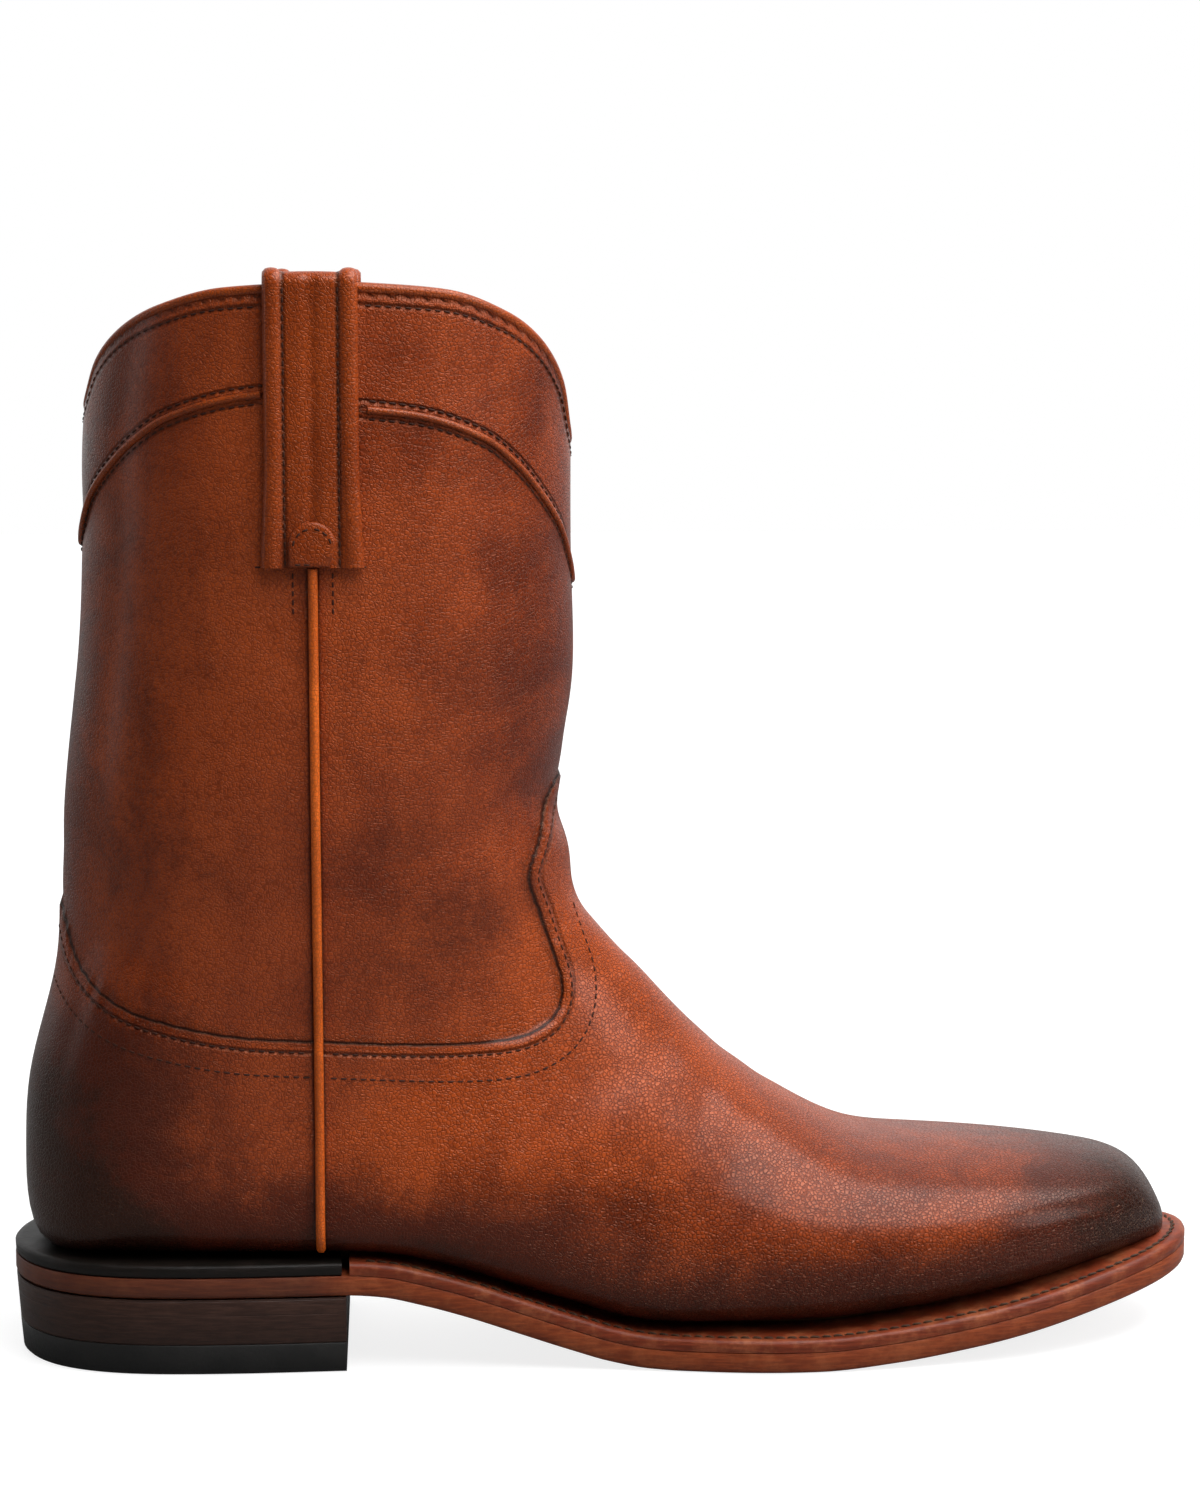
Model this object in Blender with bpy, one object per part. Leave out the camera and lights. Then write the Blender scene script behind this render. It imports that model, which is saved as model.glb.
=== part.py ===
"""Pull-on roper boot, right foot, standing empty on its sole.

Toe to +X, outer side to -Y, +Z up. The origin is the middle of the heel's resting face.
"""

import math

import bmesh
import bpy
import numpy as np
from mathutils import Vector
from mathutils.bvhtree import BVHTree

# Driving sizes, in metres
LENGTH = 0.3125            # sole, back of heel to tip of toe
BALL_WIDTH = 0.1045        # sole across the ball
HEEL_WIDTH = 0.071
HEEL_LENGTH = 0.087
TOE_SPRING = 0.0163        # lift of the sole's tip
TOP_LIFT = 0.0079          # rubber cap under the heel
HEEL_STACK = 0.0117
OUTSOLE = 0.0053
WELT = 0.0030
WELT_SEAT = 0.0180         # how far the welt reaches in under the upper
UPPER_INSET = 0.0062       # from the sole's edge to the foot of the upper
INSOLE = 0.0030
HEEL_TAPER = 0.0010        # the stack draws in by this towards the floor
CAP_TAPER = 0.0016         # and the cap under it
COLLAR_HEIGHT = 0.2776     # high points of the bound collar, at the two sides
ANKLE_RISE = 0.1300        # straight part of the shaft starts this far above the seat
SHAFT_DEPTH = 0.1260       # front to back
SHAFT_WIDTH = 0.0900
FRONT_SCALLOP = 0.0400     # fall of the collar at the front
BACK_SCALLOP = 0.0310
FRONT_YOKE_FALL = 0.0795   # fall of the yoke piping below the collar's high points
BACK_YOKE_FALL = 0.0690
WALL = 0.0022
OVERLAY = 0.0010           # vamp and counter stand this far off the shaft
STRAP_WIDTH = 0.0232
STRAP_FLARE = 0.0022       # the strap's foot is wider by this
STRAP_THICKNESS = 0.0014
STRAP_WELT = 0.0011        # rolled edges of the strap rise by this
STRAP_DROP = 0.0702        # outer leg, down from the collar
STRAP_TUCK = 0.0400        # inner leg
TAB_WIDTH = 0.0117
TAB_HEIGHT = 0.0110
TAB_THICKNESS = 0.0010
TAB_SIDE = 0.0006          # straight part of the tab's edge
PIPING = 0.0024            # width of the side piping
YOKE_PIPING = 0.0018
BINDING = 0.0026
GAP = 0.0003               # clearance between neighbours
INSOLE_GAP = 0.0012        # and round the edge of the insole

CORE_STEP = 0.0003         # the core of the insole ends this far under its face
OVERLAY_FOOT = 0.0006      # the overlays end this far above the seat
OVERLAY_REACH = 0.0300     # their outline runs past the toe

HEEL_BACK = -HEEL_LENGTH / 2
HEEL_BREAST = HEEL_LENGTH / 2
OUTSOLE_REST = TOP_LIFT + GAP + HEEL_STACK + GAP
SEAM_X = 0.0372            # side seam, ahead of the origin
STEP = 0.0005              # for slopes and normals

# Underside of the outsole along its length
# along: share of LENGTH from the back, heel: share of the heel's height, toe: share of TOE_SPRING
SOLE_LINE = [
    # along, heel, toe
    (0.000, 1.000, 0.000),
    (0.278, 1.000, 0.000),
    (0.306, 0.970, 0.000),
    (0.341, 0.850, 0.000),
    (0.378, 0.685, 0.000),
    (0.422, 0.455, 0.000),
    (0.461, 0.255, 0.000),
    (0.495, 0.100, 0.000),
    (0.526, 0.018, 0.000),
    (0.552, 0.000, 0.000),
    (0.666, 0.000, 0.000),
    (0.731, 0.000, 0.080),
    (0.795, 0.000, 0.240),
    (0.859, 0.000, 0.450),
    (0.923, 0.000, 0.700),
    (0.971, 0.000, 0.890),
    (1.000, 0.000, 1.000),
]

# Edge of the sole in plan
# along: share of LENGTH, outer and inner: shares of HEEL_WIDTH or BALL_WIDTH
HEEL_EDGE = [
    # along, outer, inner
    (0.000, 0.000, 0.000),
    (0.011, 0.210, 0.210),
    (0.037, 0.355, 0.355),
    (0.091, 0.468, 0.468),
    (0.155, 0.500, 0.500),
    (0.219, 0.500, 0.495),
    (0.278, 0.490, 0.475),
]
FOREPART_EDGE = [
    # along, outer, inner
    (0.331, 0.330, 0.300),
    (0.395, 0.332, 0.292),
    (0.459, 0.338, 0.335),
    (0.523, 0.354, 0.415),
    (0.587, 0.388, 0.505),
    (0.642, 0.401, 0.562),
    (0.706, 0.385, 0.598),
    (0.770, 0.356, 0.592),
    (0.834, 0.318, 0.545),
    (0.894, 0.250, 0.466),
    (0.942, 0.173, 0.370),
    (0.974, 0.096, 0.276),
    (0.993, 0.010, 0.185),
    (1.000, -0.086, 0.086),
]

# Level sections of the shaft
# rise: share of the way from ankle to rim, front and back: shares of SHAFT_DEPTH from the seam,
# outer and inner: shares of SHAFT_WIDTH
SHAFT_SECTIONS = [
    # rise, front, back, outer, inner
    (1.060, 0.522, -0.415, 0.495, 0.495),
    (0.698, 0.521, -0.468, 0.500, 0.500),
    (0.353, 0.522, -0.478, 0.490, 0.495),
    (0.129, 0.522, -0.495, 0.475, 0.485),
]

# Sections that fan from the ankle to the toe, each from a front point to a back or lower point
# front, back: shares of LENGTH from the back of the sole
# front_rise, back_rise: shares of ANKLE_RISE above the seat under that point
# outer_in, inner_in: how far inside the sole's edge, shares of UPPER_INSET
# ridge: share of BALL_WIDTH, widest: share of the way up, round_low and round_top: corner powers
FOOT_SECTIONS = [
    # front, front_rise, back, back_rise, outer_in, inner_in, ridge, widest, round_low, round_top
    (0.4560, 0.930, 0.0470, 0.853, -1.03, -1.27, 0.000, 0.50, 2.00, 2.00),
    (0.4570, 0.850, 0.0451, 0.715, -0.77, -1.08, 0.000, 0.49, 2.00, 2.00),
    (0.4634, 0.774, 0.0426, 0.576, -0.53, -0.84, 0.004, 0.48, 2.05, 2.00),
    (0.4659, 0.713, 0.0285, 0.436, -0.26, -0.56, 0.008, 0.46, 2.10, 2.00),
    (0.4733, 0.665, 0.0166, 0.313, 0.00, -0.30, 0.012, 0.44, 2.20, 2.00),
    (0.4851, 0.633, 0.0134, 0.176, 0.20, -0.13, 0.016, 0.41, 2.40, 2.00),
    (0.4960, 0.610, 0.0157, 0.072, 0.32, 0.00, 0.020, 0.38, 2.70, 2.00),
    (0.5066, 0.591, 0.0288, 0.011, 0.37, 0.03, 0.024, 0.35, 3.20, 2.00),
    (0.5187, 0.575, 0.0816, 0.000, 0.37, 0.00, 0.028, 0.32, 3.80, 2.00),
    (0.5376, 0.547, 0.1584, 0.000, 0.24, -0.20, 0.035, 0.30, 4.20, 2.00),
    (0.5600, 0.515, 0.2480, 0.000, 0.03, -0.70, 0.045, 0.29, 4.20, 2.00),
    (0.5869, 0.483, 0.3440, 0.000, -0.10, -0.90, 0.058, 0.30, 4.20, 2.03),
    (0.6208, 0.447, 0.4432, 0.000, 0.05, -0.20, 0.066, 0.32, 4.00, 2.06),
    (0.6646, 0.390, 0.5392, 0.000, 0.40, 0.55, 0.078, 0.36, 3.80, 2.10),
    (0.7120, 0.333, 0.6288, 0.000, 0.50, 0.70, 0.090, 0.39, 3.60, 2.15),
    (0.7664, 0.292, 0.7216, 0.000, 0.50, 0.65, 0.098, 0.42, 3.40, 2.20),
    (0.8240, 0.256, 0.7984, 0.000, 0.55, 0.60, 0.101, 0.44, 3.30, 2.25),
    (0.8720, 0.221, 0.8624, 0.000, 0.65, 0.65, 0.098, 0.45, 3.20, 2.30),
    (0.9104, 0.188, 0.9072, 0.000, 0.75, 0.75, 0.094, 0.45, 3.10, 2.30),
    (0.9398, 0.156, 0.9376, 0.000, 0.85, 0.85, 0.090, 0.45, 3.00, 2.30),
    (0.9584, 0.115, 0.9568, 0.000, 0.93, 0.93, 0.087, 0.46, 2.90, 2.30),
    (0.9686, 0.073, 0.9680, 0.000, 0.98, 0.98, 0.086, 0.48, 2.80, 2.30),
]

# Upper edge of the vamp and the counter, seen from the side
# along: share of LENGTH from the back, rise: share of ANKLE_RISE above the heel seat
OVERLAY_EDGE = [
    # along, rise
    (-0.100, 0.705),
    (0.040, 0.700),
    (0.051, 0.640),
    (0.060, 0.585),
    (0.085, 0.520),
    (0.135, 0.477),
    (0.190, 0.453),
    (0.256, 0.440),
    (0.330, 0.425),
    (0.400, 0.420),
    (0.432, 0.432),
    (0.452, 0.465),
    (0.458, 0.515),
    (0.450, 0.590),
    (0.436, 0.690),
    (0.430, 0.745),
    (0.437, 0.800),
    (0.452, 0.915),
    (0.600, 0.930),
]

# Fall of the collar from its sides to its front and back
# turn: share of the way from the centre to the side seam, fall: share of the scallop
COLLAR_SCALLOP = [
    # turn, fall
    (-0.10, 0.875),
    (0.00, 0.980),
    (0.10, 0.875),
    (0.20, 0.600),
    (0.35, 0.345),
    (0.50, 0.180),
    (0.70, 0.050),
    (1.00, 0.000),
]

# Arch of the yoke piping, over the front and over the back
# turn: share of the way from the centre to the side seam, fall: share of YOKE_FALL below the collar
YOKE_ARCH = [
    # turn, fall
    (-0.10, 0.900),
    (0.00, 0.970),
    (0.10, 0.900),
    (0.21, 0.785),
    (0.33, 0.680),
    (0.45, 0.575),
    (0.57, 0.490),
    (0.78, 0.415),
    (1.00, 0.388),
]

# Cross-section of half a strap
# across: share of its width from the middle, rise: share of STRAP_WELT above its face
STRAP_PROFILE = [
    # across, rise
    (0.50, 0.35),
    (0.44, 1.00),
    (0.36, 1.00),
    (0.30, 0.00),
]

SKIN_TURNS = 40
SKIN_RINGS = (8, 36)        # on the shaft, on the foot
LINING_TURNS = 30
LINING_RINGS = (5, 24)
LINING_LIFT = 0.0200
OPENING_REACH = 0.0090
EDGE_STATIONS = 30         # across the middle of the sole, between its end zones
END_STATIONS = 6
HEEL_STATIONS = 5
END_ZONE = 0.035
OVERLAY_POINTS = 60
END_CROWDING = 0.35        # how far the rings crowd together at the toe
HEEL_CORNER_ROW = 8        # first section that stands on the sole
RIDGE_START = 0.45         # shares of LENGTH between which the ridge leaves the ankle
RIDGE_END = 0.65
RIM_SHELF = 0.0080         # the rim is level across the wall, over this width
TIP_BACK = 0.0005
TIP_RISE = 0.0030
TURN_STEP = 0.01
MERGE = 0.00002
YOKE_CLEAR = 0.0016        # from the strap's edge to the end of the yoke piping
YOKE_POINTS = 36
PIPING_FOOT = 0.0065       # the side piping ends this far above the seat
PIPING_POINTS = 24
WELT_POINTS = 60
RAND_POINTS = 34
FACET = 0.0002             # room for the flats of a round wall under a bead
BEAD_SIDES = 6
SOFT_SIDES = 8
EDGE_POINTS = 720
EDGE_WRAP = 4
HALVINGS = 40
SHARP_ANGLE = 35
STRAP_RINGS = (7, 7, 5)      # outer leg, fold, inner leg
TAB_POINTS = 11
TAB_TOP = 0.86             # share of the tab's outline at its rounded face


def clear_scene():
    for item in list(bpy.data.objects):
        bpy.data.objects.remove(item, do_unlink=True)


def leather(name, colour, roughness):
    material = bpy.data.materials.new(name)
    material.use_nodes = True
    shader = material.node_tree.nodes["Principled BSDF"]
    shader.inputs["Base Color"].default_value = (*colour, 1.0)
    shader.inputs["Roughness"].default_value = roughness
    return material


def make_object(name, points, faces, material, smooth=True):
    mesh = bpy.data.meshes.new(name)
    mesh.from_pydata([tuple(map(float, p)) for p in points], [], faces)
    mesh.validate()
    if material is not None:
        mesh.materials.append(material)
    if smooth:
        mesh.shade_smooth()
        mesh.set_sharp_from_angle(angle=math.radians(SHARP_ANGLE))
    made = bpy.data.objects.new(name, mesh)
    bpy.context.scene.collection.objects.link(made)
    return made


def boolean(target, tool, operation):
    """Unite, cut or intersect target with tool, and apply it at once."""
    step = target.modifiers.new(operation, "BOOLEAN")
    step.operation = operation
    step.object = tool
    step.solver = "EXACT"
    graph = bpy.context.evaluated_depsgraph_get()
    result = bpy.data.meshes.new_from_object(target.evaluated_get(graph))
    target.modifiers.clear()
    target.data = result
    bpy.data.objects.remove(tool, do_unlink=True)
    return target


def monotone(xs, ys, x):
    """Smooth curve through a table that never overshoots it."""
    xs, ys, x = np.asarray(xs, float), np.asarray(ys, float), np.asarray(x, float)
    width = np.diff(xs)
    slope = np.diff(ys) / width
    lean = np.zeros(len(xs))
    for k in range(1, len(xs) - 1):
        if slope[k - 1] * slope[k] > 0:
            lean[k] = 2 / (1 / slope[k - 1] + 1 / slope[k])
    lean[0], lean[-1] = slope[0], slope[-1]
    k = np.clip(np.searchsorted(xs, x, side="right") - 1, 0, len(xs) - 2)
    t = (x - xs[k]) / width[k]
    t = np.clip(t, 0.0, 1.0)
    return ((2 * t**3 - 3 * t**2 + 1) * ys[k] + (t**3 - 2 * t**2 + t) * width[k] * lean[k]
            + (3 * t**2 - 2 * t**3) * ys[k + 1] + (t**3 - t**2) * width[k] * lean[k + 1])


class Spline:
    """Natural cubic curve through rows of values."""

    def __init__(self, knots, rows):
        self.knots = np.asarray(knots, float)
        self.rows = np.asarray(rows, float)
        count = len(self.knots)
        width = np.diff(self.knots)
        matrix = np.eye(count)
        bend = np.zeros_like(self.rows)
        for k in range(1, count - 1):
            matrix[k, k - 1] = width[k - 1]
            matrix[k, k] = 2 * (width[k - 1] + width[k])
            matrix[k, k + 1] = width[k]
            bend[k] = 6 * ((self.rows[k + 1] - self.rows[k]) / width[k]
                           - (self.rows[k] - self.rows[k - 1]) / width[k - 1])
        self.bend = np.linalg.solve(matrix, bend)

    def __call__(self, at):
        at = np.clip(np.atleast_1d(np.asarray(at, float)), self.knots[0], self.knots[-1])
        k = np.clip(np.searchsorted(self.knots, at, side="right") - 1, 0, len(self.knots) - 2)
        width = (self.knots[k + 1] - self.knots[k])[:, None]
        a = (self.knots[k + 1] - at)[:, None] / width
        b = 1 - a
        return (a * self.rows[k] + b * self.rows[k + 1]
                + ((a**3 - a) * self.bend[k] + (b**3 - b) * self.bend[k + 1]) * width**2 / 6)


def along(share):
    return HEEL_BACK + np.asarray(share) * LENGTH


def ground(x):
    """Height of the outsole's underside at x."""
    table = np.array(SOLE_LINE)
    height = table[:, 1] * OUTSOLE_REST + table[:, 2] * TOE_SPRING
    stations = along(table[:, 0])
    stations[1] = HEEL_BREAST
    return monotone(stations, height, x)


def layer(x, thickness):
    """Height of a surface that lies a given thickness above the sole's underside."""
    slope = (ground(np.asarray(x) + STEP) - ground(np.asarray(x) - STEP)) / (2 * STEP)
    return ground(x) + thickness * np.sqrt(1 + slope**2)


def outsole_top(x):
    return layer(x, OUTSOLE)


def welt_low(x):
    return layer(x, OUTSOLE + GAP)


def welt_top(x):
    return layer(x, OUTSOLE + GAP + WELT)


def seat(x):
    """Where the foot of the upper lies."""
    return layer(x, OUTSOLE + WELT + 2 * GAP)


def board_low(x):
    return layer(x, OUTSOLE + WELT + WALL + 3 * GAP)


def board_top(x):
    return layer(x, OUTSOLE + WELT + WALL + INSOLE + 3 * GAP)


def sole_edge():
    """The sole's edge as two smooth lines from the back to the toe, outer and inner."""
    rows = [(a, -o * HEEL_WIDTH, i * HEEL_WIDTH) for a, o, i in HEEL_EDGE]
    rows += [(a, -o * BALL_WIDTH, i * BALL_WIDTH) for a, o, i in FOREPART_EDGE]
    outer = [(along(a), o) for a, o, i in rows]
    inner = [(along(a), i) for a, o, i in rows]
    loop = np.array(outer + inner[-2:0:-1])
    closed = np.vstack([loop[-EDGE_WRAP:], loop, loop[:EDGE_WRAP + 1]])
    steps = np.linalg.norm(np.diff(closed, axis=0), axis=1)
    knots = np.concatenate([[0], np.cumsum(steps)])
    start, finish = knots[EDGE_WRAP], knots[EDGE_WRAP + len(loop)]
    return Spline(knots, closed)(np.linspace(start, finish, EDGE_POINTS, endpoint=False))


def edge_inwards(edge):
    """Directions square to the edge, towards the middle of the sole."""
    ahead = np.roll(edge, -1, axis=0) - np.roll(edge, 1, axis=0)
    ahead /= np.linalg.norm(ahead, axis=1)[:, None]
    return np.stack([-ahead[:, 1], ahead[:, 0]], axis=1)


EDGE = sole_edge()
INWARDS = edge_inwards(EDGE)


def inset_edge(distance):
    """The sole's edge moved inwards, as its outer side and its inner side from back to front."""
    points = EDGE + INWARDS * distance
    back, front = int(np.argmin(points[:, 0])), int(np.argmax(points[:, 0]))
    points = np.roll(points, -back, axis=0)
    front = (front - back) % len(points)
    outer = points[:front + 1]
    inner = np.vstack([points[front:], points[:1]])[::-1]
    return outer, inner


def edge_sides(x, distance=0.0):
    """Outer and inner y of the inset edge at x."""
    outer, inner = inset_edge(distance)
    return np.interp(x, outer[:, 0], outer[:, 1]), np.interp(x, inner[:, 0], inner[:, 1])


def edge_loop(distance, height, cut=None):
    """A closed loop of points on an inset edge, at the height that a function of x gives.

    All loops share their stations between the two ends, so layers follow each other closely.
    With cut, the loop ends there in a straight line across.
    """
    outer, inner = inset_edge(distance)
    start, finish = outer[0, 0], outer[-1, 0]
    curl = 1 - np.cos(math.pi / 2 * np.linspace(0, 1, END_STATIONS + 1))
    heel_end = float(along(0.0)) + END_ZONE
    toe_start = float(along(1.0)) - END_ZONE
    x = start + (heel_end - start) * curl[:-1]
    if cut is None:
        middle_x = np.linspace(heel_end, toe_start, EDGE_STATIONS)
        x = np.concatenate([x, middle_x, (finish - (finish - toe_start) * curl[:-1])[::-1]])
        last = len(x) - 1
    else:
        x = np.concatenate([x, np.linspace(heel_end, cut, HEEL_STATIONS)])
        last = len(x)
    low = np.interp(x, outer[:, 0], outer[:, 1])
    high = np.interp(x, inner[:, 0], inner[:, 1])
    back = [(x[0], (low[0] + high[0]) / 2)]
    front = [(x[-1], (low[-1] + high[-1]) / 2)]
    side_out = [(x[k], low[k]) for k in range(1, last)]
    side_in = [(x[k], high[k]) for k in range(last - 1, 0, -1)]
    flat = np.array(back + side_out + front + side_in)
    return np.column_stack([flat, height(flat[:, 0])])


def stack_loops(name, loops, material):
    """A solid between loops that lie one above the other, closed below and above."""
    count = len(loops[0])
    points = np.vstack(loops)
    faces = []
    for level in range(len(loops) - 1):
        for k in range(count):
            after = (k + 1) % count
            low, high = level * count, (level + 1) * count
            faces.append((low + k, low + after, high + after, high + k))
    half = count // 2
    for level, up in ((0, False), (len(loops) - 1, True)):
        base = level * count
        for k in range(half):
            a, b = base + k, base + k + 1
            c, d = base + (count - k - 1) % count, base + (count - k) % count
            face = [a, b, c, d] if up else [d, c, b, a]
            clean = []
            for corner in face:
                if corner not in clean:
                    clean.append(corner)
            if len(clean) > 2:
                faces.append(tuple(clean))
    made = make_object(name, points, faces, material)
    fix_outside(made)
    return made


def strip(name, around_heel, low, top, material, count):
    """A strip under the foot of the upper, along the edge of the heel or of the forepart."""
    half = len(EDGE) // 2 if around_heel else 0
    edge, inwards = np.roll(EDGE, half, axis=0), np.roll(INWARDS, half, axis=0)
    if around_heel:
        chosen = np.flatnonzero(edge[:, 0] < HEEL_BREAST - GAP / 2)
    else:
        chosen = np.flatnonzero(edge[:, 0] > HEEL_BREAST + GAP / 2)
    picks = chosen[np.round(np.linspace(0, len(chosen) - 1, count)).astype(int)]
    rings = []
    for a, b in zip(edge[picks], (edge + inwards * WELT_SEAT)[picks]):
        rings.append([(*a, low(a[0])), (*b, low(b[0])), (*b, top(b[0])), (*a, top(a[0]))])
    return sweep_rings(name, rings, material)


def sweep_rings(name, rings, material, closed=False):
    """A solid through rings of points, capped at its two ends unless it closes on itself."""
    count = len(rings[0])
    points = [p for ring in rings for p in ring]
    faces = []
    spans = len(rings) if closed else len(rings) - 1
    for r in range(spans):
        a, b = r * count, (r + 1) % len(rings) * count
        for k in range(count):
            after = (k + 1) % count
            faces.append((a + k, b + k, b + after, a + after))
    if not closed:
        faces.append(tuple(range(count)))
        last = (len(rings) - 1) * count
        faces.append(tuple(last + k for k in reversed(range(count))))
    made = make_object(name, points, faces, material)
    fix_outside(made)
    return made


def fix_outside(made):
    """Turn the faces outwards."""
    work = bmesh.new()
    work.from_mesh(made.data)
    bmesh.ops.recalc_face_normals(work, faces=work.faces)
    if work.calc_volume(signed=True) < 0:
        bmesh.ops.reverse_faces(work, faces=work.faces)
    work.to_mesh(made.data)
    work.free()


def top_base(share):
    """Level that heights of the upper's ridge are counted from: the heel seat, then the seat below."""
    blend = np.clip((share - RIDGE_START) / (RIDGE_END - RIDGE_START), 0.0, 1.0)
    blend = blend * blend * (3 - 2 * blend)
    return seat(0.0) * (1 - blend) + seat(along(share)) * blend


def section_table():
    """All sections as rows of real sizes, from the rim to the toe."""
    rows = []
    ankle = float(seat(0.0)) + ANKLE_RISE
    for rise, front, back, outer, inner in SHAFT_SECTIONS:
        z = ankle + rise * (COLLAR_HEIGHT - ankle)
        rows.append((SEAM_X + front * SHAFT_DEPTH, z, SEAM_X + back * SHAFT_DEPTH, z,
                     outer * SHAFT_WIDTH, inner * SHAFT_WIDTH, 0.0, 0.5, 2.0, 2.0))
    for row in FOOT_SECTIONS:
        front, front_rise, back, back_rise, outer_in, inner_in, ridge, widest, low, top = row
        x_front, x_back = float(along(front)), float(along(back))
        x_wide = x_back + widest * (x_front - x_back)
        y_outer = edge_sides(x_wide, outer_in * UPPER_INSET)[0]
        y_inner = edge_sides(x_wide, inner_in * UPPER_INSET)[1]
        y_ridge = ridge * BALL_WIDTH
        rows.append((x_front, float(top_base(front)) + front_rise * ANKLE_RISE,
                     x_back, float(seat(x_back)) + back_rise * ANKLE_RISE,
                     y_ridge - y_outer, y_inner - y_ridge, y_ridge, widest, low, top))
    tip_x = float(along(1.0)) - UPPER_INSET - TIP_BACK
    tip_z = float(seat(tip_x)) + TIP_RISE
    ridge = FOOT_SECTIONS[-1][6] * BALL_WIDTH
    rows.append((tip_x, tip_z, tip_x, tip_z, 0.0, 0.0, ridge, 0.5, 2.6, 2.3))
    return np.array(rows)


def upper_spline():
    rows = section_table()
    middle = np.stack([(rows[:, 0] + rows[:, 2]) / 2, (rows[:, 1] + rows[:, 3]) / 2,
                       (rows[:, 4] + rows[:, 5]) / 2], axis=1)
    knots = np.concatenate([[0], np.cumsum(np.linalg.norm(np.diff(middle, axis=0), axis=1))])
    return Spline(knots, rows)


UPPER = upper_spline()
TOE_END = UPPER.knots[-1]
CORNER = UPPER.knots[len(SHAFT_SECTIONS) + HEEL_CORNER_ROW]
SHAFT_END = UPPER.knots[len(SHAFT_SECTIONS) - 1]


def skin(place, turn):
    """Points of the upper's outside.

    place runs from the rim to the toe; turn is an angle, 0 at the front or top, half a turn at the
    back or underneath, with the outer side on the negative half.
    """
    place, turn = np.broadcast_arrays(np.asarray(place, float), np.asarray(turn, float))
    shape = place.shape
    row = UPPER(place.ravel())
    turn = turn.ravel()
    fx, fz, bx, bz, outer, inner, ridge, widest, low, top = row.T
    floor = seat(bx)
    bz = np.where(place.ravel() > CORNER, floor, np.maximum(bz, floor))
    bz = np.where(fz < bz, fz, bz)
    ahead, across = np.cos(turn), np.sin(turn)
    power = 2 / np.where(ahead >= 0, top, low)
    u = np.sign(ahead) * np.abs(ahead) ** power
    v = np.abs(across) ** power
    share = widest + np.where(u >= 0, (1 - widest) * u, widest * u)
    y = ridge + np.where(across > 0, v * np.maximum(inner, 0), -v * np.maximum(outer, 0))
    points = np.stack([bx + share * (fx - bx), y, bz + share * (fz - bz)], axis=1)
    return points.reshape(*shape, 3)


def skin_normal(place, turn):
    """Outward normals of the upper's outside."""
    place, turn = np.broadcast_arrays(np.asarray(place, float), np.asarray(turn, float))
    down = np.minimum(place + STEP, TOE_END - STEP)
    forth = skin(down, turn) - skin(np.maximum(down - 2 * STEP, 0.0), turn)
    round_ = skin(place, turn + TURN_STEP) - skin(place, turn - TURN_STEP)
    normal = np.cross(forth, round_)
    length = np.linalg.norm(normal, axis=-1, keepdims=True)
    return normal / np.maximum(length, 1e-12)


def arch(table, turn, front, back):
    """A fall that runs round the shaft, read from a table of shares, for its front and its back half."""
    table = np.array(table)
    turn = np.abs((np.asarray(turn, float) + math.pi) % (2 * math.pi) - math.pi)
    ahead = turn < math.pi / 2
    share = np.where(ahead, turn, math.pi - turn) / (math.pi / 2)
    return monotone(table[:, 0], table[:, 1], share) * np.where(ahead, front, back)


def rim_height(turn):
    """The scalloped rim of the wall, under its binding."""
    return COLLAR_HEIGHT - BINDING - GAP - arch(COLLAR_SCALLOP, turn, FRONT_SCALLOP, BACK_SCALLOP)


def yoke_height(turn):
    return COLLAR_HEIGHT - arch(YOKE_ARCH, turn, FRONT_YOKE_FALL, BACK_YOKE_FALL)


def place_at(turn, height):
    """Where along the upper a line at this turn comes down to the height that its turn asks for."""
    turn = np.asarray(turn, float)
    target = height(turn)
    near, far = np.zeros_like(turn), np.full_like(turn, SHAFT_END)
    for _ in range(HALVINGS):
        middle = (near + far) / 2
        above = skin(middle, turn)[..., 2] > target
        near = np.where(above, middle, near)
        far = np.where(above, far, middle)
    return (near + far) / 2


def turns(count):
    return np.linspace(0, 2 * math.pi, count, endpoint=False)


def ring_places(start, shaft_rings, foot_rings):
    """Stations for every turn: down the shaft from its start, then on to the toe, closer at its end."""
    level = np.linspace(0, 1, shaft_rings, endpoint=False)[:, None]
    shaft = start + (SHAFT_END - start) * level
    share = np.linspace(0, 1, foot_rings)
    share = share * (1 - END_CROWDING) + np.sin(share * math.pi / 2) * END_CROWDING
    foot = np.tile(SHAFT_END + (TOE_END - SHAFT_END) * share[:, None], (1, len(start)))
    return np.vstack([shaft, foot])


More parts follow.
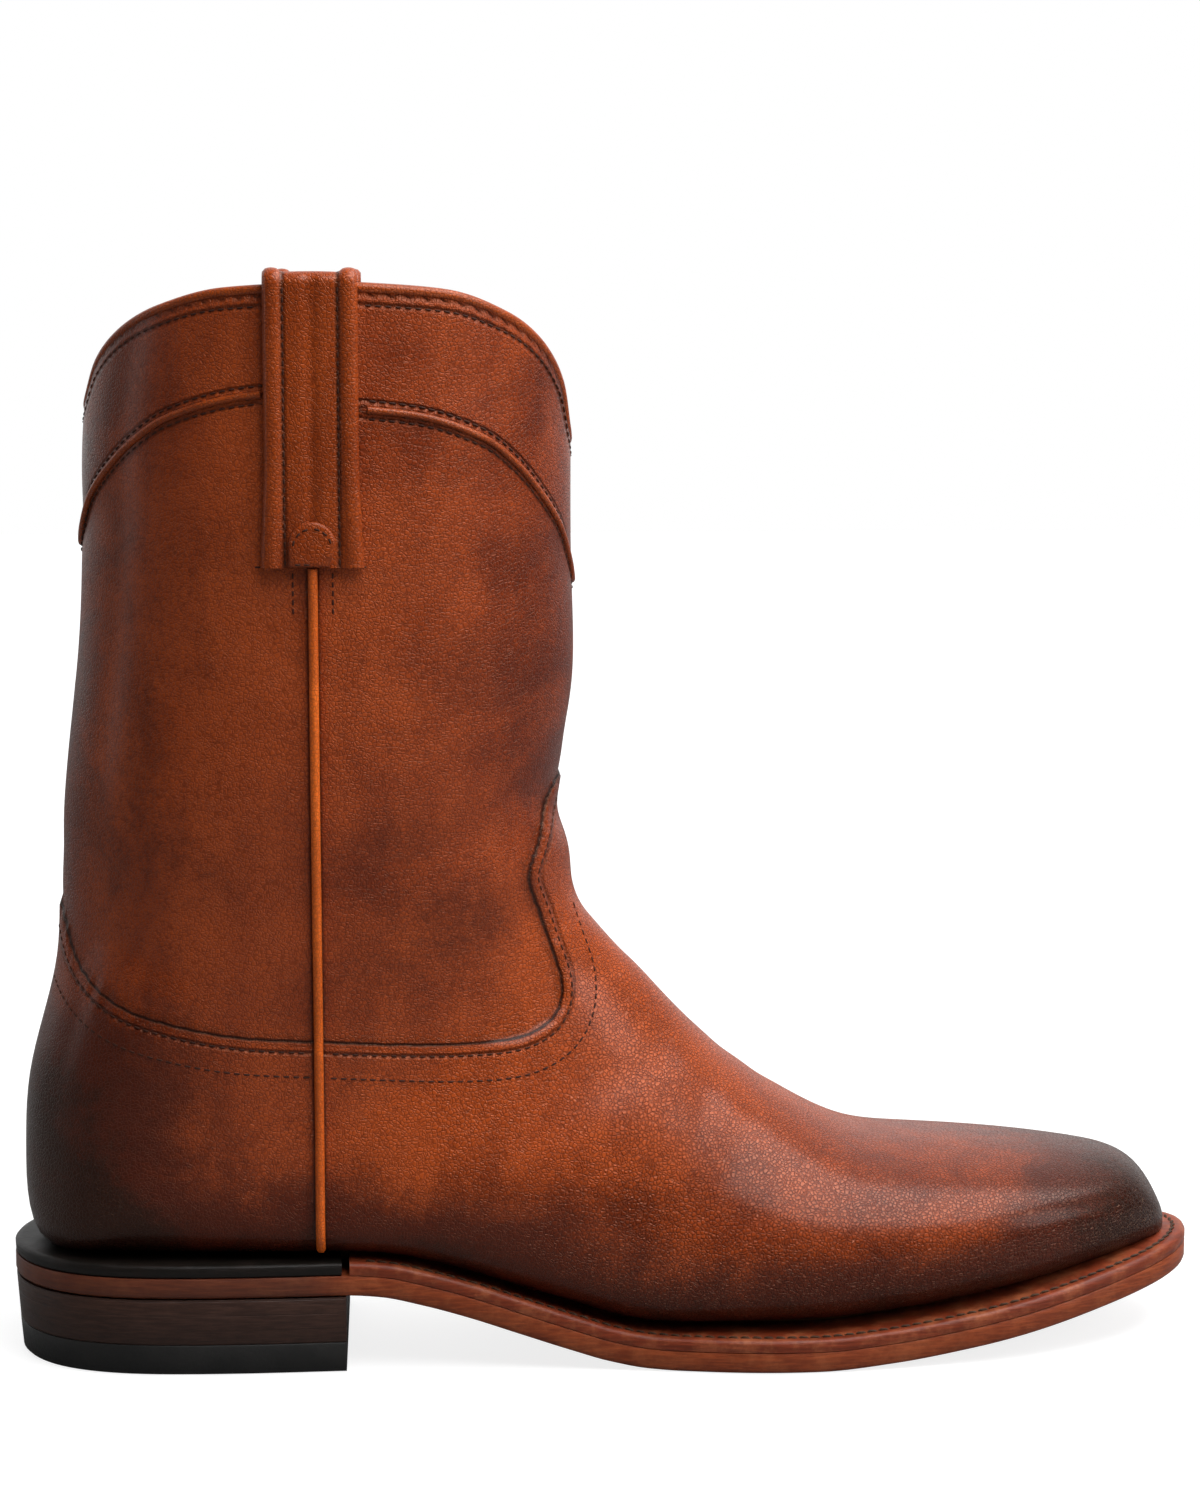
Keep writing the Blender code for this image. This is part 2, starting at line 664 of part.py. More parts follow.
def skin_solid(name, offset, start, rings, material=None, lift=0.0):
    """A closed solid inside the upper's outside moved by offset.

    rings counts those on the shaft and those on the foot.
    """
    turn_count = len(start)
    places = ring_places(start, *rings)[:-1]
    angle_grid = np.broadcast_to(turns(turn_count), places.shape)
    points = skin(places, angle_grid) + offset * skin_normal(places, angle_grid)
    points[0, :, 2] += lift
    tip = skin(np.array([TOE_END]), np.array([0.0]))[0] + np.array([offset, 0.0, 0.0])
    top = points[0].mean(axis=0)
    shelf = points[0] - RIM_SHELF * skin_normal(places[0], angle_grid[0])
    shelf[:, 2] = points[0][:, 2]
    flat = np.vstack([points.reshape(-1, 3), tip[None, :], top[None, :], shelf])
    faces = []
    for r in range(len(places) - 1):
        upper, lower = r * turn_count, (r + 1) * turn_count
        for k in range(turn_count):
            after = (k + 1) % turn_count
            faces.append((upper + k, upper + after, lower + k))
            faces.append((upper + after, lower + after, lower + k))
    last = (len(places) - 1) * turn_count
    tip_index = len(places) * turn_count
    top_index = tip_index + 1
    for k in range(turn_count):
        after = (k + 1) % turn_count
        faces.append((last + k, last + after, tip_index))
        faces.append((after, k, top_index + 1 + k, top_index + 1 + after))
        faces.append((top_index + 1 + after, top_index + 1 + k, top_index))
    made = make_object(name, flat, faces, material)
    fix_outside(made)
    return made


def side_prism(name, outline, half_width):
    """A block with an outline seen from the side, running across the whole boot."""
    count = len(outline)
    points = [(x, -half_width, z) for x, z in outline] + [(x, half_width, z) for x, z in outline]
    faces = [tuple(range(count)), tuple(range(2 * count - 1, count - 1, -1))]
    for k in range(count):
        after = (k + 1) % count
        faces.append((k, after, count + after, count + k))
    made = make_object(name, points, faces, None, smooth=False)
    fix_outside(made)
    return made


def overlay_outline():
    table = np.array(OVERLAY_EDGE)
    x = along(table[:, 0])
    z = float(seat(0.0)) + table[:, 1] * ANKLE_RISE
    steps = np.concatenate([[0], np.cumsum(np.hypot(np.diff(x), np.diff(z)))])
    fine = Spline(steps, np.column_stack([x, z]))(np.linspace(0, steps[-1], OVERLAY_POINTS))
    front = float(along(1.0)) + OVERLAY_REACH
    bottom = [(p, float(seat(p)) + OVERLAY_FOOT) for p in np.linspace(front, x[0], OVERLAY_POINTS)]
    return [(float(a), float(b)) for a, b in fine] + [(front, float(fine[-1][1]))] + bottom


def make_upper(material):
    angles = turns(SKIN_TURNS)
    rim = place_at(angles, rim_height)
    upper = skin_solid("upper", 0.0, rim, SKIN_RINGS, material)
    raised = skin_solid("raised", OVERLAY, np.full(SKIN_TURNS, SHAFT_END), (0, SKIN_RINGS[1]))
    prism = side_prism("overlay_outline", overlay_outline(), BALL_WIDTH)
    boolean(raised, prism, "INTERSECT")
    boolean(upper, raised, "UNION")
    boolean(upper, lining_solid("lining", -WALL), "DIFFERENCE")
    opening = stack_loops("opening", [
        edge_loop(WELT_SEAT, lambda x: seat(x) - OPENING_REACH),
        edge_loop(WELT_SEAT, lambda x: seat(x) + OPENING_REACH)], None)
    boolean(upper, opening, "DIFFERENCE")
    tidy(upper)
    return upper


def lining_solid(name, offset, material=None):
    """The space inside the upper, drawn in by offset and carried up past the rim."""
    start = place_at(turns(LINING_TURNS), rim_height)
    return skin_solid(name, offset, start, LINING_RINGS, material, lift=LINING_LIFT)


def make_insole(material):
    """A board that fills the foot of the upper, with a core down through the opening."""
    insole = lining_solid("insole", -(WALL + INSOLE_GAP), material)
    slab = stack_loops("insole_slab", [
        edge_loop(UPPER_INSET, lambda x: seat(x) - WALL), edge_loop(UPPER_INSET, board_top)], None)
    boolean(insole, slab, "INTERSECT")
    inset = WELT_SEAT + GAP
    core = stack_loops("insole_core", [
        edge_loop(inset, lambda x: outsole_top(x) + GAP),
        edge_loop(inset, lambda x: board_top(x) - CORE_STEP)], None)
    boolean(insole, core, "UNION")
    tidy(insole)
    return insole


def tidy(made):
    """Merge points that a cut left on one spot, and shade smooth."""
    work = bmesh.new()
    work.from_mesh(made.data)
    bmesh.ops.remove_doubles(work, verts=work.verts, dist=MERGE)
    bmesh.ops.dissolve_degenerate(work, edges=work.edges, dist=MERGE)
    bmesh.ops.triangulate(work, faces=work.faces)
    work.to_mesh(made.data)
    work.free()
    made.data.shade_smooth()
    made.data.set_sharp_from_angle(angle=math.radians(SHARP_ANGLE))


def bead(name, centres, outwards, width, material, sides=BEAD_SIDES, closed=False):
    """A round cord through centres."""
    centres, outwards = np.asarray(centres), np.asarray(outwards)
    if closed:
        ahead = np.roll(centres, -1, axis=0) - np.roll(centres, 1, axis=0)
    else:
        ahead = np.gradient(centres, axis=0)
    ahead /= np.linalg.norm(ahead, axis=1)[:, None]
    sideways = np.cross(ahead, outwards)
    sideways /= np.linalg.norm(sideways, axis=1)[:, None]
    outwards = np.cross(sideways, ahead)
    rings = []
    for centre, up, side in zip(centres, outwards, sideways):
        angle = [2 * math.pi * k / sides for k in range(sides)]
        rings.append([tuple(centre + width / 2 * (math.cos(a) * up + math.sin(a) * side)) for a in angle])
    return sweep_rings(name, rings, material, closed)


def make_binding(material):
    """Rolled edge that sits on the rim all the way round."""
    angle = turns(SKIN_TURNS)
    place = place_at(angle, rim_height)
    centre = skin(place, angle) - skin_normal(place, angle) * WALL / 2
    out = skin_normal(place, angle)
    ahead = np.roll(centre, -1, axis=0) - np.roll(centre, 1, axis=0)
    rise = np.cross(out, ahead)
    rise /= np.linalg.norm(rise, axis=1)[:, None] * np.sign(rise[:, 2:])
    centre += rise * (GAP + FACET + BINDING / 2)
    return bead("collar_binding", centre, out, BINDING, material, SOFT_SIDES, closed=True)


def make_yoke_piping(name, middle, material):
    """A bead along the yoke seam, from strap to strap over the front or the back."""
    ahead = math.cos(middle)
    strap_edge = SEAM_X + ahead * (STRAP_WIDTH / 2 + YOKE_CLEAR)
    ends = np.array([0.0, math.pi])
    front, back = skin(place_at(ends, yoke_height), ends)[:, 0]
    reach = math.acos(ahead * (strap_edge - (front + back) / 2) / ((front - back) / 2))
    angle = middle + np.linspace(-reach, reach, YOKE_POINTS)
    place = place_at(angle, yoke_height)
    out = skin_normal(place, angle)
    centre = skin(place, angle) + out * (YOKE_PIPING / 2 + GAP + FACET)
    return bead(name, centre, out, YOKE_PIPING, material)


def side_surface(upper):
    """Looks up the upper's outer side at a point of the side view."""
    tree = BVHTree.FromObject(upper, bpy.context.evaluated_depsgraph_get())

    def reach(x, z, side):
        start = Vector((x, side * BALL_WIDTH, z))
        spot = tree.ray_cast(start, Vector((0, -side, 0)))[0]
        return spot.y

    return reach


def make_side_piping(name, side, surface, material):
    """A bead down the side seam, from the strap's foot to the sole."""
    top = COLLAR_HEIGHT - STRAP_DROP - GAP
    bottom = float(seat(SEAM_X)) + PIPING_FOOT
    heights = np.linspace(top, bottom, PIPING_POINTS)
    reach = np.array([abs(surface(SEAM_X, z, side)) for z in heights])
    padded = np.concatenate([reach[:1], reach, reach[-1:]])
    reach = np.maximum(np.maximum(padded[:-2], padded[1:-1]), padded[2:])
    centre = [(SEAM_X, side * (r + GAP + PIPING / 2), z) for r, z in zip(reach, heights)]
    out = np.tile([0.0, side, 0.0], (len(centre), 1))
    return bead(name, centre, out, PIPING, material)


def strap_profile():
    """Shares across the strap with the rise of its face at each: rolled edges, flat middle."""
    return [(-a, r) for a, r in STRAP_PROFILE] + STRAP_PROFILE[::-1]


def make_pull_strap(name, side, surface, material):
    """A strap folded over the collar, sewn down outside and inside."""
    hub = COLLAR_HEIGHT - BINDING / 2
    foot = COLLAR_HEIGHT - STRAP_DROP
    reach_in = BINDING / 2 + GAP
    outer_rings, fold_rings, inner_rings = STRAP_RINGS
    steps = [("out", z) for z in np.linspace(foot, hub, outer_rings)]
    steps += [("turn", a) for a in np.linspace(0, math.pi, fold_rings)[1:-1]]
    steps += [("in", z) for z in np.linspace(hub, hub - STRAP_TUCK, inner_rings)]
    rings = []
    for kind, value in steps:
        z = value if kind != "turn" else hub
        lean = {"out": 0.0, "in": math.pi}.get(kind, value)
        flare = STRAP_FLARE * max(0.0, 1 - (z - foot) / STRAP_WIDTH) if kind == "out" else 0.0
        low, high = [], []
        for share, rise in strap_profile():
            x = SEAM_X + share * (STRAP_WIDTH + flare)
            sure = min(z, COLLAR_HEIGHT - BINDING * 2)
            wall = abs(surface(x, sure, side)) - WALL / 2
            for ring, depth in ((low, reach_in), (high, reach_in + STRAP_THICKNESS + rise * STRAP_WELT)):
                ring.append((x, side * (wall + depth * math.cos(lean)), z + depth * math.sin(lean)))
        rings.append(low + high[::-1])
    return sweep_rings(name, rings, material)


def make_strap_tab(name, side, surface, material):
    """A round-topped tab on the foot of the strap."""
    foot = COLLAR_HEIGHT - STRAP_DROP
    radius = TAB_WIDTH / 2
    outline = [(-radius, 0.0), (radius, 0.0)]
    crown = TAB_HEIGHT - radius
    outline += [(radius * math.cos(a), crown + radius * math.sin(a))
                for a in np.linspace(0, math.pi, TAB_POINTS)]
    face = max(abs(surface(SEAM_X, foot + h, side)) for h in (GAP, TAB_HEIGHT))
    start = face - WALL / 2 + BINDING / 2 + GAP + STRAP_THICKNESS + GAP
    rings = []
    for depth, shrink in ((start, 1.0), (start + TAB_SIDE, 1.0), (start + TAB_THICKNESS, TAB_TOP)):
        rings.append([(SEAM_X + x * shrink, side * depth,
                       foot + GAP + crown / 2 + (z - crown / 2) * shrink) for x, z in outline])
    return sweep_rings(name, rings, material)


def make_sole(edge, dark, stack, rubber):
    rest = TOP_LIFT + GAP
    stack_loops("heel_cap", [
        edge_loop(CAP_TAPER, lambda x: 0 * x, HEEL_BREAST),
        edge_loop(HEEL_TAPER, lambda x: 0 * x + TOP_LIFT, HEEL_BREAST)], rubber)
    stack_loops("heel_stack", [
        edge_loop(HEEL_TAPER, lambda x: 0 * x + rest, HEEL_BREAST),
        edge_loop(0.0, lambda x: 0 * x + rest + HEEL_STACK, HEEL_BREAST)], stack)
    stack_loops("outsole", [edge_loop(0.0, ground), edge_loop(0.0, outsole_top)], edge)
    strip("welt", False, welt_low, welt_top, edge, WELT_POINTS)
    strip("heel_rand", True, welt_low, welt_top, dark, RAND_POINTS)


def main():
    clear_scene()
    tan = leather("tan_leather", (0.33, 0.12, 0.045), 0.38)
    bright = leather("piping_leather", (0.42, 0.14, 0.03), 0.35)
    dark = leather("dark_leather", (0.05, 0.03, 0.022), 0.5)
    edge = leather("sole_edge", (0.22, 0.075, 0.035), 0.45)
    stack = leather("stacked_leather", (0.06, 0.028, 0.018), 0.5)
    rubber = leather("black_rubber", (0.012, 0.012, 0.012), 0.6)
    board = leather("insole_leather", (0.45, 0.30, 0.17), 0.7)

    make_sole(edge, dark, stack, rubber)
    make_insole(board)
    upper = make_upper(tan)
    make_binding(tan)
    make_yoke_piping("yoke_piping_front", 0.0, tan)
    make_yoke_piping("yoke_piping_back", math.pi, tan)
    surface = side_surface(upper)
    for label, side in (("outer", -1), ("inner", 1)):
        make_side_piping(f"side_piping_{label}", side, surface, bright)
        make_pull_strap(f"pull_strap_{label}", side, surface, tan)
        make_strap_tab(f"strap_tab_{label}", side, surface, tan)


main()
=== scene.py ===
import math

import bmesh
import bpy
import numpy as np
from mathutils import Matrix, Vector
from mathutils.bvhtree import BVHTree


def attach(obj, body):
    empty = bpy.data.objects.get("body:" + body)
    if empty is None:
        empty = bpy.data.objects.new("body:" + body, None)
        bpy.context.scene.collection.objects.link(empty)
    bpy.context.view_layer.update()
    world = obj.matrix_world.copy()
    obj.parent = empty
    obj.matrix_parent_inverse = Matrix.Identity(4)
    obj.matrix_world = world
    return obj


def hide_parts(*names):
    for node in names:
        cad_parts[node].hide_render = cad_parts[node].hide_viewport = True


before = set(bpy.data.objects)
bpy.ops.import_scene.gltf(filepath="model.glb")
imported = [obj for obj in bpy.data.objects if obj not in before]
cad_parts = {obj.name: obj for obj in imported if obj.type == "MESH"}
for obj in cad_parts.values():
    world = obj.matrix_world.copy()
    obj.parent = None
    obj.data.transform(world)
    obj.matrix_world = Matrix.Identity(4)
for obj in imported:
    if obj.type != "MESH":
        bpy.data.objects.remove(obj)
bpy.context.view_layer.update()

# Sizes of the boot, in metres
LENGTH = 0.3125             # sole, back of heel to tip of toe
BALL_WIDTH = 0.1045         # sole across the ball
HEEL_WIDTH = 0.071
HEEL_LENGTH = 0.087
TOE_SPRING = 0.0163         # lift of the sole's tip
TOP_LIFT = 0.0079           # rubber cap under the heel
HEEL_STACK = 0.0117
OUTSOLE = 0.0053
WELT = 0.0030
WELT_SEAT = 0.0180          # how far the welt reaches in under the upper
UPPER_INSET = 0.0062        # from the sole's edge to the foot of the upper
HEEL_TAPER = 0.0010         # the stack draws in by this towards the floor
CAP_TAPER = 0.0016          # and the cap under it
COLLAR_HEIGHT = 0.2776      # high points of the bound collar, at the two sides
ANKLE_RISE = 0.1300         # straight part of the shaft starts this far above the seat
SHAFT_DEPTH = 0.1260        # front to back
SHAFT_WIDTH = 0.0900
FRONT_SCALLOP = 0.0400      # fall of the collar at the front
BACK_SCALLOP = 0.0310
FRONT_YOKE_FALL = 0.0795    # fall of the yoke piping below the collar's high points
BACK_YOKE_FALL = 0.0690
WALL = 0.0022
OVERLAY = 0.0010            # vamp and counter stand this far off the shaft
STRAP_WIDTH = 0.0232
STRAP_FLARE = 0.0022        # the strap's foot is wider by this
STRAP_THICKNESS = 0.0014
STRAP_WELT = 0.0011         # rolled edges of the strap rise by this
STRAP_DROP = 0.0702         # outer leg, down from the collar
STRAP_TUCK = 0.0400         # inner leg
TAB_WIDTH = 0.0117
TAB_HEIGHT = 0.0110
TAB_THICKNESS = 0.0010
PIPING = 0.0024             # width of the side piping
YOKE_PIPING = 0.0018
BINDING = 0.0026
GAP = 0.0003                # clearance between neighbours
HEEL_BACK = -HEEL_LENGTH / 2
HEEL_BREAST = HEEL_LENGTH / 2
OUTSOLE_REST = TOP_LIFT + GAP + HEEL_STACK + GAP
SEAM_X = 0.0372             # side seam, ahead of the origin
STEP = 0.0005               # for slopes and normals

# Underside of the outsole along its length
# along: share of LENGTH from the back, heel: share of the heel's height, toe: share of TOE_SPRING
SOLE_LINE = [
    # along, heel, toe
    (0.000, 1.000, 0.000),
    (0.278, 1.000, 0.000),
    (0.306, 0.970, 0.000),
    (0.341, 0.850, 0.000),
    (0.378, 0.685, 0.000),
    (0.422, 0.455, 0.000),
    (0.461, 0.255, 0.000),
    (0.495, 0.100, 0.000),
    (0.526, 0.018, 0.000),
    (0.552, 0.000, 0.000),
    (0.666, 0.000, 0.000),
    (0.731, 0.000, 0.080),
    (0.795, 0.000, 0.240),
    (0.859, 0.000, 0.450),
    (0.923, 0.000, 0.700),
    (0.971, 0.000, 0.890),
    (1.000, 0.000, 1.000),
]

# Edge of the sole in plan
# along: share of LENGTH, outer and inner: shares of HEEL_WIDTH or BALL_WIDTH
HEEL_EDGE = [
    # along, outer, inner
    (0.000, 0.000, 0.000),
    (0.011, 0.210, 0.210),
    (0.037, 0.355, 0.355),
    (0.091, 0.468, 0.468),
    (0.155, 0.500, 0.500),
    (0.219, 0.500, 0.495),
    (0.278, 0.490, 0.475),
]

FOREPART_EDGE = [
    # along, outer, inner
    (0.331, 0.330, 0.300),
    (0.395, 0.332, 0.292),
    (0.459, 0.338, 0.335),
    (0.523, 0.354, 0.415),
    (0.587, 0.388, 0.505),
    (0.642, 0.401, 0.562),
    (0.706, 0.385, 0.598),
    (0.770, 0.356, 0.592),
    (0.834, 0.318, 0.545),
    (0.894, 0.250, 0.466),
    (0.942, 0.173, 0.370),
    (0.974, 0.096, 0.276),
    (0.993, 0.010, 0.185),
    (1.000, -0.086, 0.086),
]

# Level sections of the shaft
# rise: share of the way from ankle to rim, front and back: shares of SHAFT_DEPTH from the seam,
# outer and inner: shares of SHAFT_WIDTH
SHAFT_SECTIONS = [
    # rise, front, back, outer, inner
    (1.060, 0.522, -0.415, 0.495, 0.495),
    (0.698, 0.521, -0.468, 0.500, 0.500),
    (0.353, 0.522, -0.478, 0.490, 0.495),
    (0.129, 0.522, -0.495, 0.475, 0.485),
]

# Sections that fan from the ankle to the toe, each from a front point to a back or lower point
# front, back: shares of LENGTH from the back of the sole
# front_rise, back_rise: shares of ANKLE_RISE above the seat under that point
# outer_in, inner_in: how far inside the sole's edge, shares of UPPER_INSET
# ridge: share of BALL_WIDTH, widest: share of the way up, round_low and round_top: corner powers
FOOT_SECTIONS = [
    # front, front_rise, back, back_rise, outer_in, inner_in, ridge, widest, round_low, round_top
    (0.4560, 0.930, 0.0470, 0.853, -1.03, -1.27, 0.000, 0.50, 2.00, 2.00),
    (0.4570, 0.850, 0.0451, 0.715, -0.77, -1.08, 0.000, 0.49, 2.00, 2.00),
    (0.4634, 0.774, 0.0426, 0.576, -0.53, -0.84, 0.004, 0.48, 2.05, 2.00),
    (0.4659, 0.713, 0.0285, 0.436, -0.26, -0.56, 0.008, 0.46, 2.10, 2.00),
    (0.4733, 0.665, 0.0166, 0.313, 0.00, -0.30, 0.012, 0.44, 2.20, 2.00),
    (0.4851, 0.633, 0.0134, 0.176, 0.20, -0.13, 0.016, 0.41, 2.40, 2.00),
    (0.4960, 0.610, 0.0157, 0.072, 0.32, 0.00, 0.020, 0.38, 2.70, 2.00),
    (0.5066, 0.591, 0.0288, 0.011, 0.37, 0.03, 0.024, 0.35, 3.20, 2.00),
    (0.5187, 0.575, 0.0816, 0.000, 0.37, 0.00, 0.028, 0.32, 3.80, 2.00),
    (0.5376, 0.547, 0.1584, 0.000, 0.24, -0.20, 0.035, 0.30, 4.20, 2.00),
    (0.5600, 0.515, 0.2480, 0.000, 0.03, -0.70, 0.045, 0.29, 4.20, 2.00),
    (0.5869, 0.483, 0.3440, 0.000, -0.10, -0.90, 0.058, 0.30, 4.20, 2.03),
    (0.6208, 0.447, 0.4432, 0.000, 0.05, -0.20, 0.066, 0.32, 4.00, 2.06),
    (0.6646, 0.387, 0.5392, 0.000, 0.40, 0.55, 0.078, 0.36, 3.80, 2.10),
    (0.7120, 0.326, 0.6288, 0.000, 0.50, 0.70, 0.090, 0.39, 3.60, 2.15),
    (0.7664, 0.289, 0.7216, 0.000, 0.50, 0.65, 0.098, 0.42, 3.40, 2.20),
    (0.8240, 0.256, 0.7984, 0.000, 0.55, 0.60, 0.101, 0.44, 3.30, 2.25),
    (0.8720, 0.225, 0.8624, 0.000, 0.65, 0.65, 0.098, 0.45, 3.20, 2.30),
    (0.9104, 0.197, 0.9072, 0.000, 0.75, 0.75, 0.094, 0.45, 3.10, 2.30),
    (0.9398, 0.168, 0.9376, 0.000, 0.85, 0.85, 0.090, 0.45, 3.00, 2.30),
    (0.9584, 0.127, 0.9568, 0.000, 0.93, 0.93, 0.087, 0.46, 2.90, 2.30),
    (0.9686, 0.081, 0.9680, 0.000, 0.98, 0.98, 0.086, 0.48, 2.80, 2.30),
]

# Upper edge of the vamp and the counter, seen from the side
# along: share of LENGTH from the back, rise: share of ANKLE_RISE above the heel seat
OVERLAY_EDGE = [
    # along, rise
    (-0.100, 0.705),
    (0.040, 0.700),
    (0.051, 0.640),
    (0.060, 0.585),
    (0.085, 0.520),
    (0.135, 0.477),
    (0.190, 0.453),
    (0.256, 0.440),
    (0.330, 0.425),
    (0.400, 0.420),
    (0.432, 0.432),
    (0.452, 0.465),
    (0.458, 0.515),
    (0.450, 0.590),
    (0.436, 0.690),
    (0.430, 0.745),
    (0.437, 0.800),
    (0.452, 0.915),
    (0.600, 0.930),
]

# Fall of the collar from its sides to its front and back
# turn: share of the way from the centre to the side seam, fall: share of the scallop
COLLAR_SCALLOP = [
    # turn, fall
    (-0.10, 0.875),
    (0.00, 0.980),
    (0.10, 0.875),
    (0.20, 0.600),
    (0.35, 0.345),
    (0.50, 0.180),
    (0.70, 0.050),
    (1.00, 0.000),
]

# Arch of the yoke piping, over the front and over the back
# turn: share of the way from the centre to the side seam, fall: share of YOKE_FALL below the collar
YOKE_ARCH = [
    # turn, fall
    (-0.10, 0.900),
    (0.00, 0.970),
    (0.10, 0.900),
    (0.21, 0.785),
    (0.33, 0.680),
    (0.45, 0.575),
    (0.57, 0.490),
    (0.78, 0.415),
    (1.00, 0.388),
]

EDGE_STATIONS = 110         # across the middle of the sole, between its end zones
END_STATIONS = 20
HEEL_STATIONS = 16
END_ZONE = 0.035
END_CROWDING = 0.35         # how far the rings crowd together at the toe
HEEL_CORNER_ROW = 8         # first section that stands on the sole
RIDGE_START = 0.45          # shares of LENGTH between which the ridge leaves the ankle
RIDGE_END = 0.65
TIP_BACK = 0.0005
TIP_RISE = 0.0030
TURN_STEP = 0.01
YOKE_CLEAR = 0.0016         # from the strap's edge to the end of the yoke piping
EDGE_POINTS = 720
EDGE_WRAP = 4
HALVINGS = 40

# Finer stations for the surfaces that show
SHELL_TURNS = 240
SHELL_ROWS = (60, 170)      # on the shaft, on the foot
LINING_ROWS = (24, 44)
OVERLAY_FINE = 420
LINE_POINTS = 160
STRAP_FINE = (48, 15, 24)
STRAP_ACROSS = 33
TUBE_SIDES = 12
CHUNK = 4000                # points measured at a time
SHARP_ANGLE = 50

# How the leather lies at its edges and seams
EDGE_BEVEL = 0.0004
SEAM_DIP = 0.0007
SEAM_SPREAD = 0.0014
ROLL_SINK = 0.0002
ROLL_EXTRA = 0.0002
YOKE_STAND = 0.02           # shares of a cord's width that its middle stands above the leather
BEAD_STAND = 0.32
BEAD_FOOT = 0.0030
ROLL_MIDDLE = 0.405         # rolled edges of the strap, shares of its width
ROLL_HALF = 0.095
STRAP_CROWN = 0.16          # rise of the strap's middle, share of its rolled edges' rise
TAB_FOOT_POINTS = 9
TAB_ARCH_POINTS = 25
TAB_DOME = [
    # share of its thickness, share of its outline
    (0.00, 1.00),
    (0.50, 1.00),
    (0.85, 0.96),
    (1.00, 0.88),
    (1.05, 0.60),
    (1.10, 0.30),
    (1.12, 0.05),
]

# Edges of the sole's layers
HEEL_ROUND = 0.0003
STACK_FOOT = TOP_LIFT + GAP
CAP_PROFILE = [
    # in from the sole's edge, height
    (0.0022, 0.0),
    (CAP_TAPER, 0.0006),
    (HEEL_TAPER, TOP_LIFT - HEEL_ROUND),
    (HEEL_TAPER + HEEL_ROUND, TOP_LIFT),
]
STACK_PROFILE = [
    # in from the sole's edge, height
    (HEEL_TAPER + HEEL_ROUND, TOP_LIFT),
    (HEEL_TAPER, STACK_FOOT + 0.0002),
    (0.0002, STACK_FOOT + HEEL_STACK - HEEL_ROUND),
    (0.0004, STACK_FOOT + HEEL_STACK),
]
OUTSOLE_PROFILE = [
    # in from the sole's edge, height above its underside
    (0.0010, 0.0),
    (0.0003, 0.0005),
    (0.0, 0.0013),
    (0.0, OUTSOLE - 0.0004),
    (0.0002, OUTSOLE),
    (0.0012, OUTSOLE + 0.0001),
]
WELT_PROFILE = [
    # in from the sole's edge, share of the welt's height
    (WELT_SEAT, 0.0),
    (0.0012, -0.06),
    (0.0001, -0.03),
    (0.0, 0.20),
    (0.0, 0.65),
    (0.0004, 0.92),
    (0.0012, 1.02),
    (0.0024, 1.02),
    (0.0032, 0.90),
    (0.0042, 1.0),
    (WELT_SEAT, 1.0),
]
RAND_PROFILE = [
    # in from the sole's edge, share of the rand's height
    (WELT_SEAT, 0.0),
    (0.0006, -0.05),
    (0.0001, 0.15),
    (0.0, 0.8),
    (0.0006, 1.02),
    (0.0020, 1.02),
    (WELT_SEAT, 1.0),
]
WELT_STATIONS = 360
RAND_STATIONS = 160

# Stitches
STITCH_PITCH = 0.0025
STITCH_LENGTH = 0.0019
STITCH_RADIUS = 0.00028
STITCH_SIDES = 6
STITCH_SHAPE = [
    # share of its length, share of its radius, sunk by this share of the radius
    (-0.50, 0.45, 0.7),
    (-0.25, 0.95, 0.1),
    (0.25, 0.95, 0.1),
    (0.50, 0.45, 0.7),
]
STRAP_PITCH = 0.0022
STRAP_STITCH = 0.0017
WELT_PITCH = 0.0030
WELT_STITCH = 0.0028
WELT_THREAD = 0.00042       # radius
WELT_SLANT = 0.35
ROW_ONE = 0.0026            # rows below the edge of vamp and counter
ROW_TWO = 0.0090
ROW_TWO_TOP = 0.66
COLLAR_ROW = 0.0030
YOKE_ROW = 0.0022
STRAP_ROW = 0.0067
TAIL_ROW = 0.0049
TAIL_LENGTH = 0.0120
TAB_ROW = 0.80
TACK_OUT = 0.0014
TACK_HALF = 0.0016
WELT_START = 0.004          # the welt's row starts this far ahead of the heel's breast
ROW_POINTS = (60, 30, 12)   # along a strap, a tail and a tack
WELT_ROW = 0.0033
GRAZING = 0.10              # a row stops where the leather turns away from the side view
BREAK = 0.004               # or where it steps by more than this
CURVE_SLACK = 0.0003

# Troughs and ridges of worn leather
# along: share of LENGTH, rise: share of ANKLE_RISE above the seat, side: -1 outer, 1 inner, 0 both,
# lean in degrees, length, width and height in metres
CREASES = [
    # along, rise, side, lean, length, width, height
    (0.455, 0.86, 0, -35, 0.014, 0.0040, -0.0009),
    (0.440, 0.98, 0, -20, 0.016, 0.0060, 0.0005),
    (0.300, 1.30, -1, 8, 0.030, 0.0070, -0.0004),
    (0.330, 0.80, -1, 20, 0.024, 0.0060, -0.0005),
    (0.100, 0.62, -1, -28, 0.020, 0.0045, -0.0005),
    (0.130, 0.54, -1, -18, 0.018, 0.0035, 0.0004),
    (0.080, 0.75, 0, -30, 0.018, 0.0060, -0.0005),
    (0.060, 1.45, 0, 10, 0.022, 0.0080, -0.0004),
    (0.400, 1.70, 0, -12, 0.024, 0.0090, -0.0004),
    (0.320, 0.80, 1, 24, 0.026, 0.0060, -0.0006),
    (0.580, 0.30, 0, 52, 0.020, 0.0050, -0.0003),
    (0.620, 0.26, 0, 60, 0.022, 0.0050, -0.0003),
]

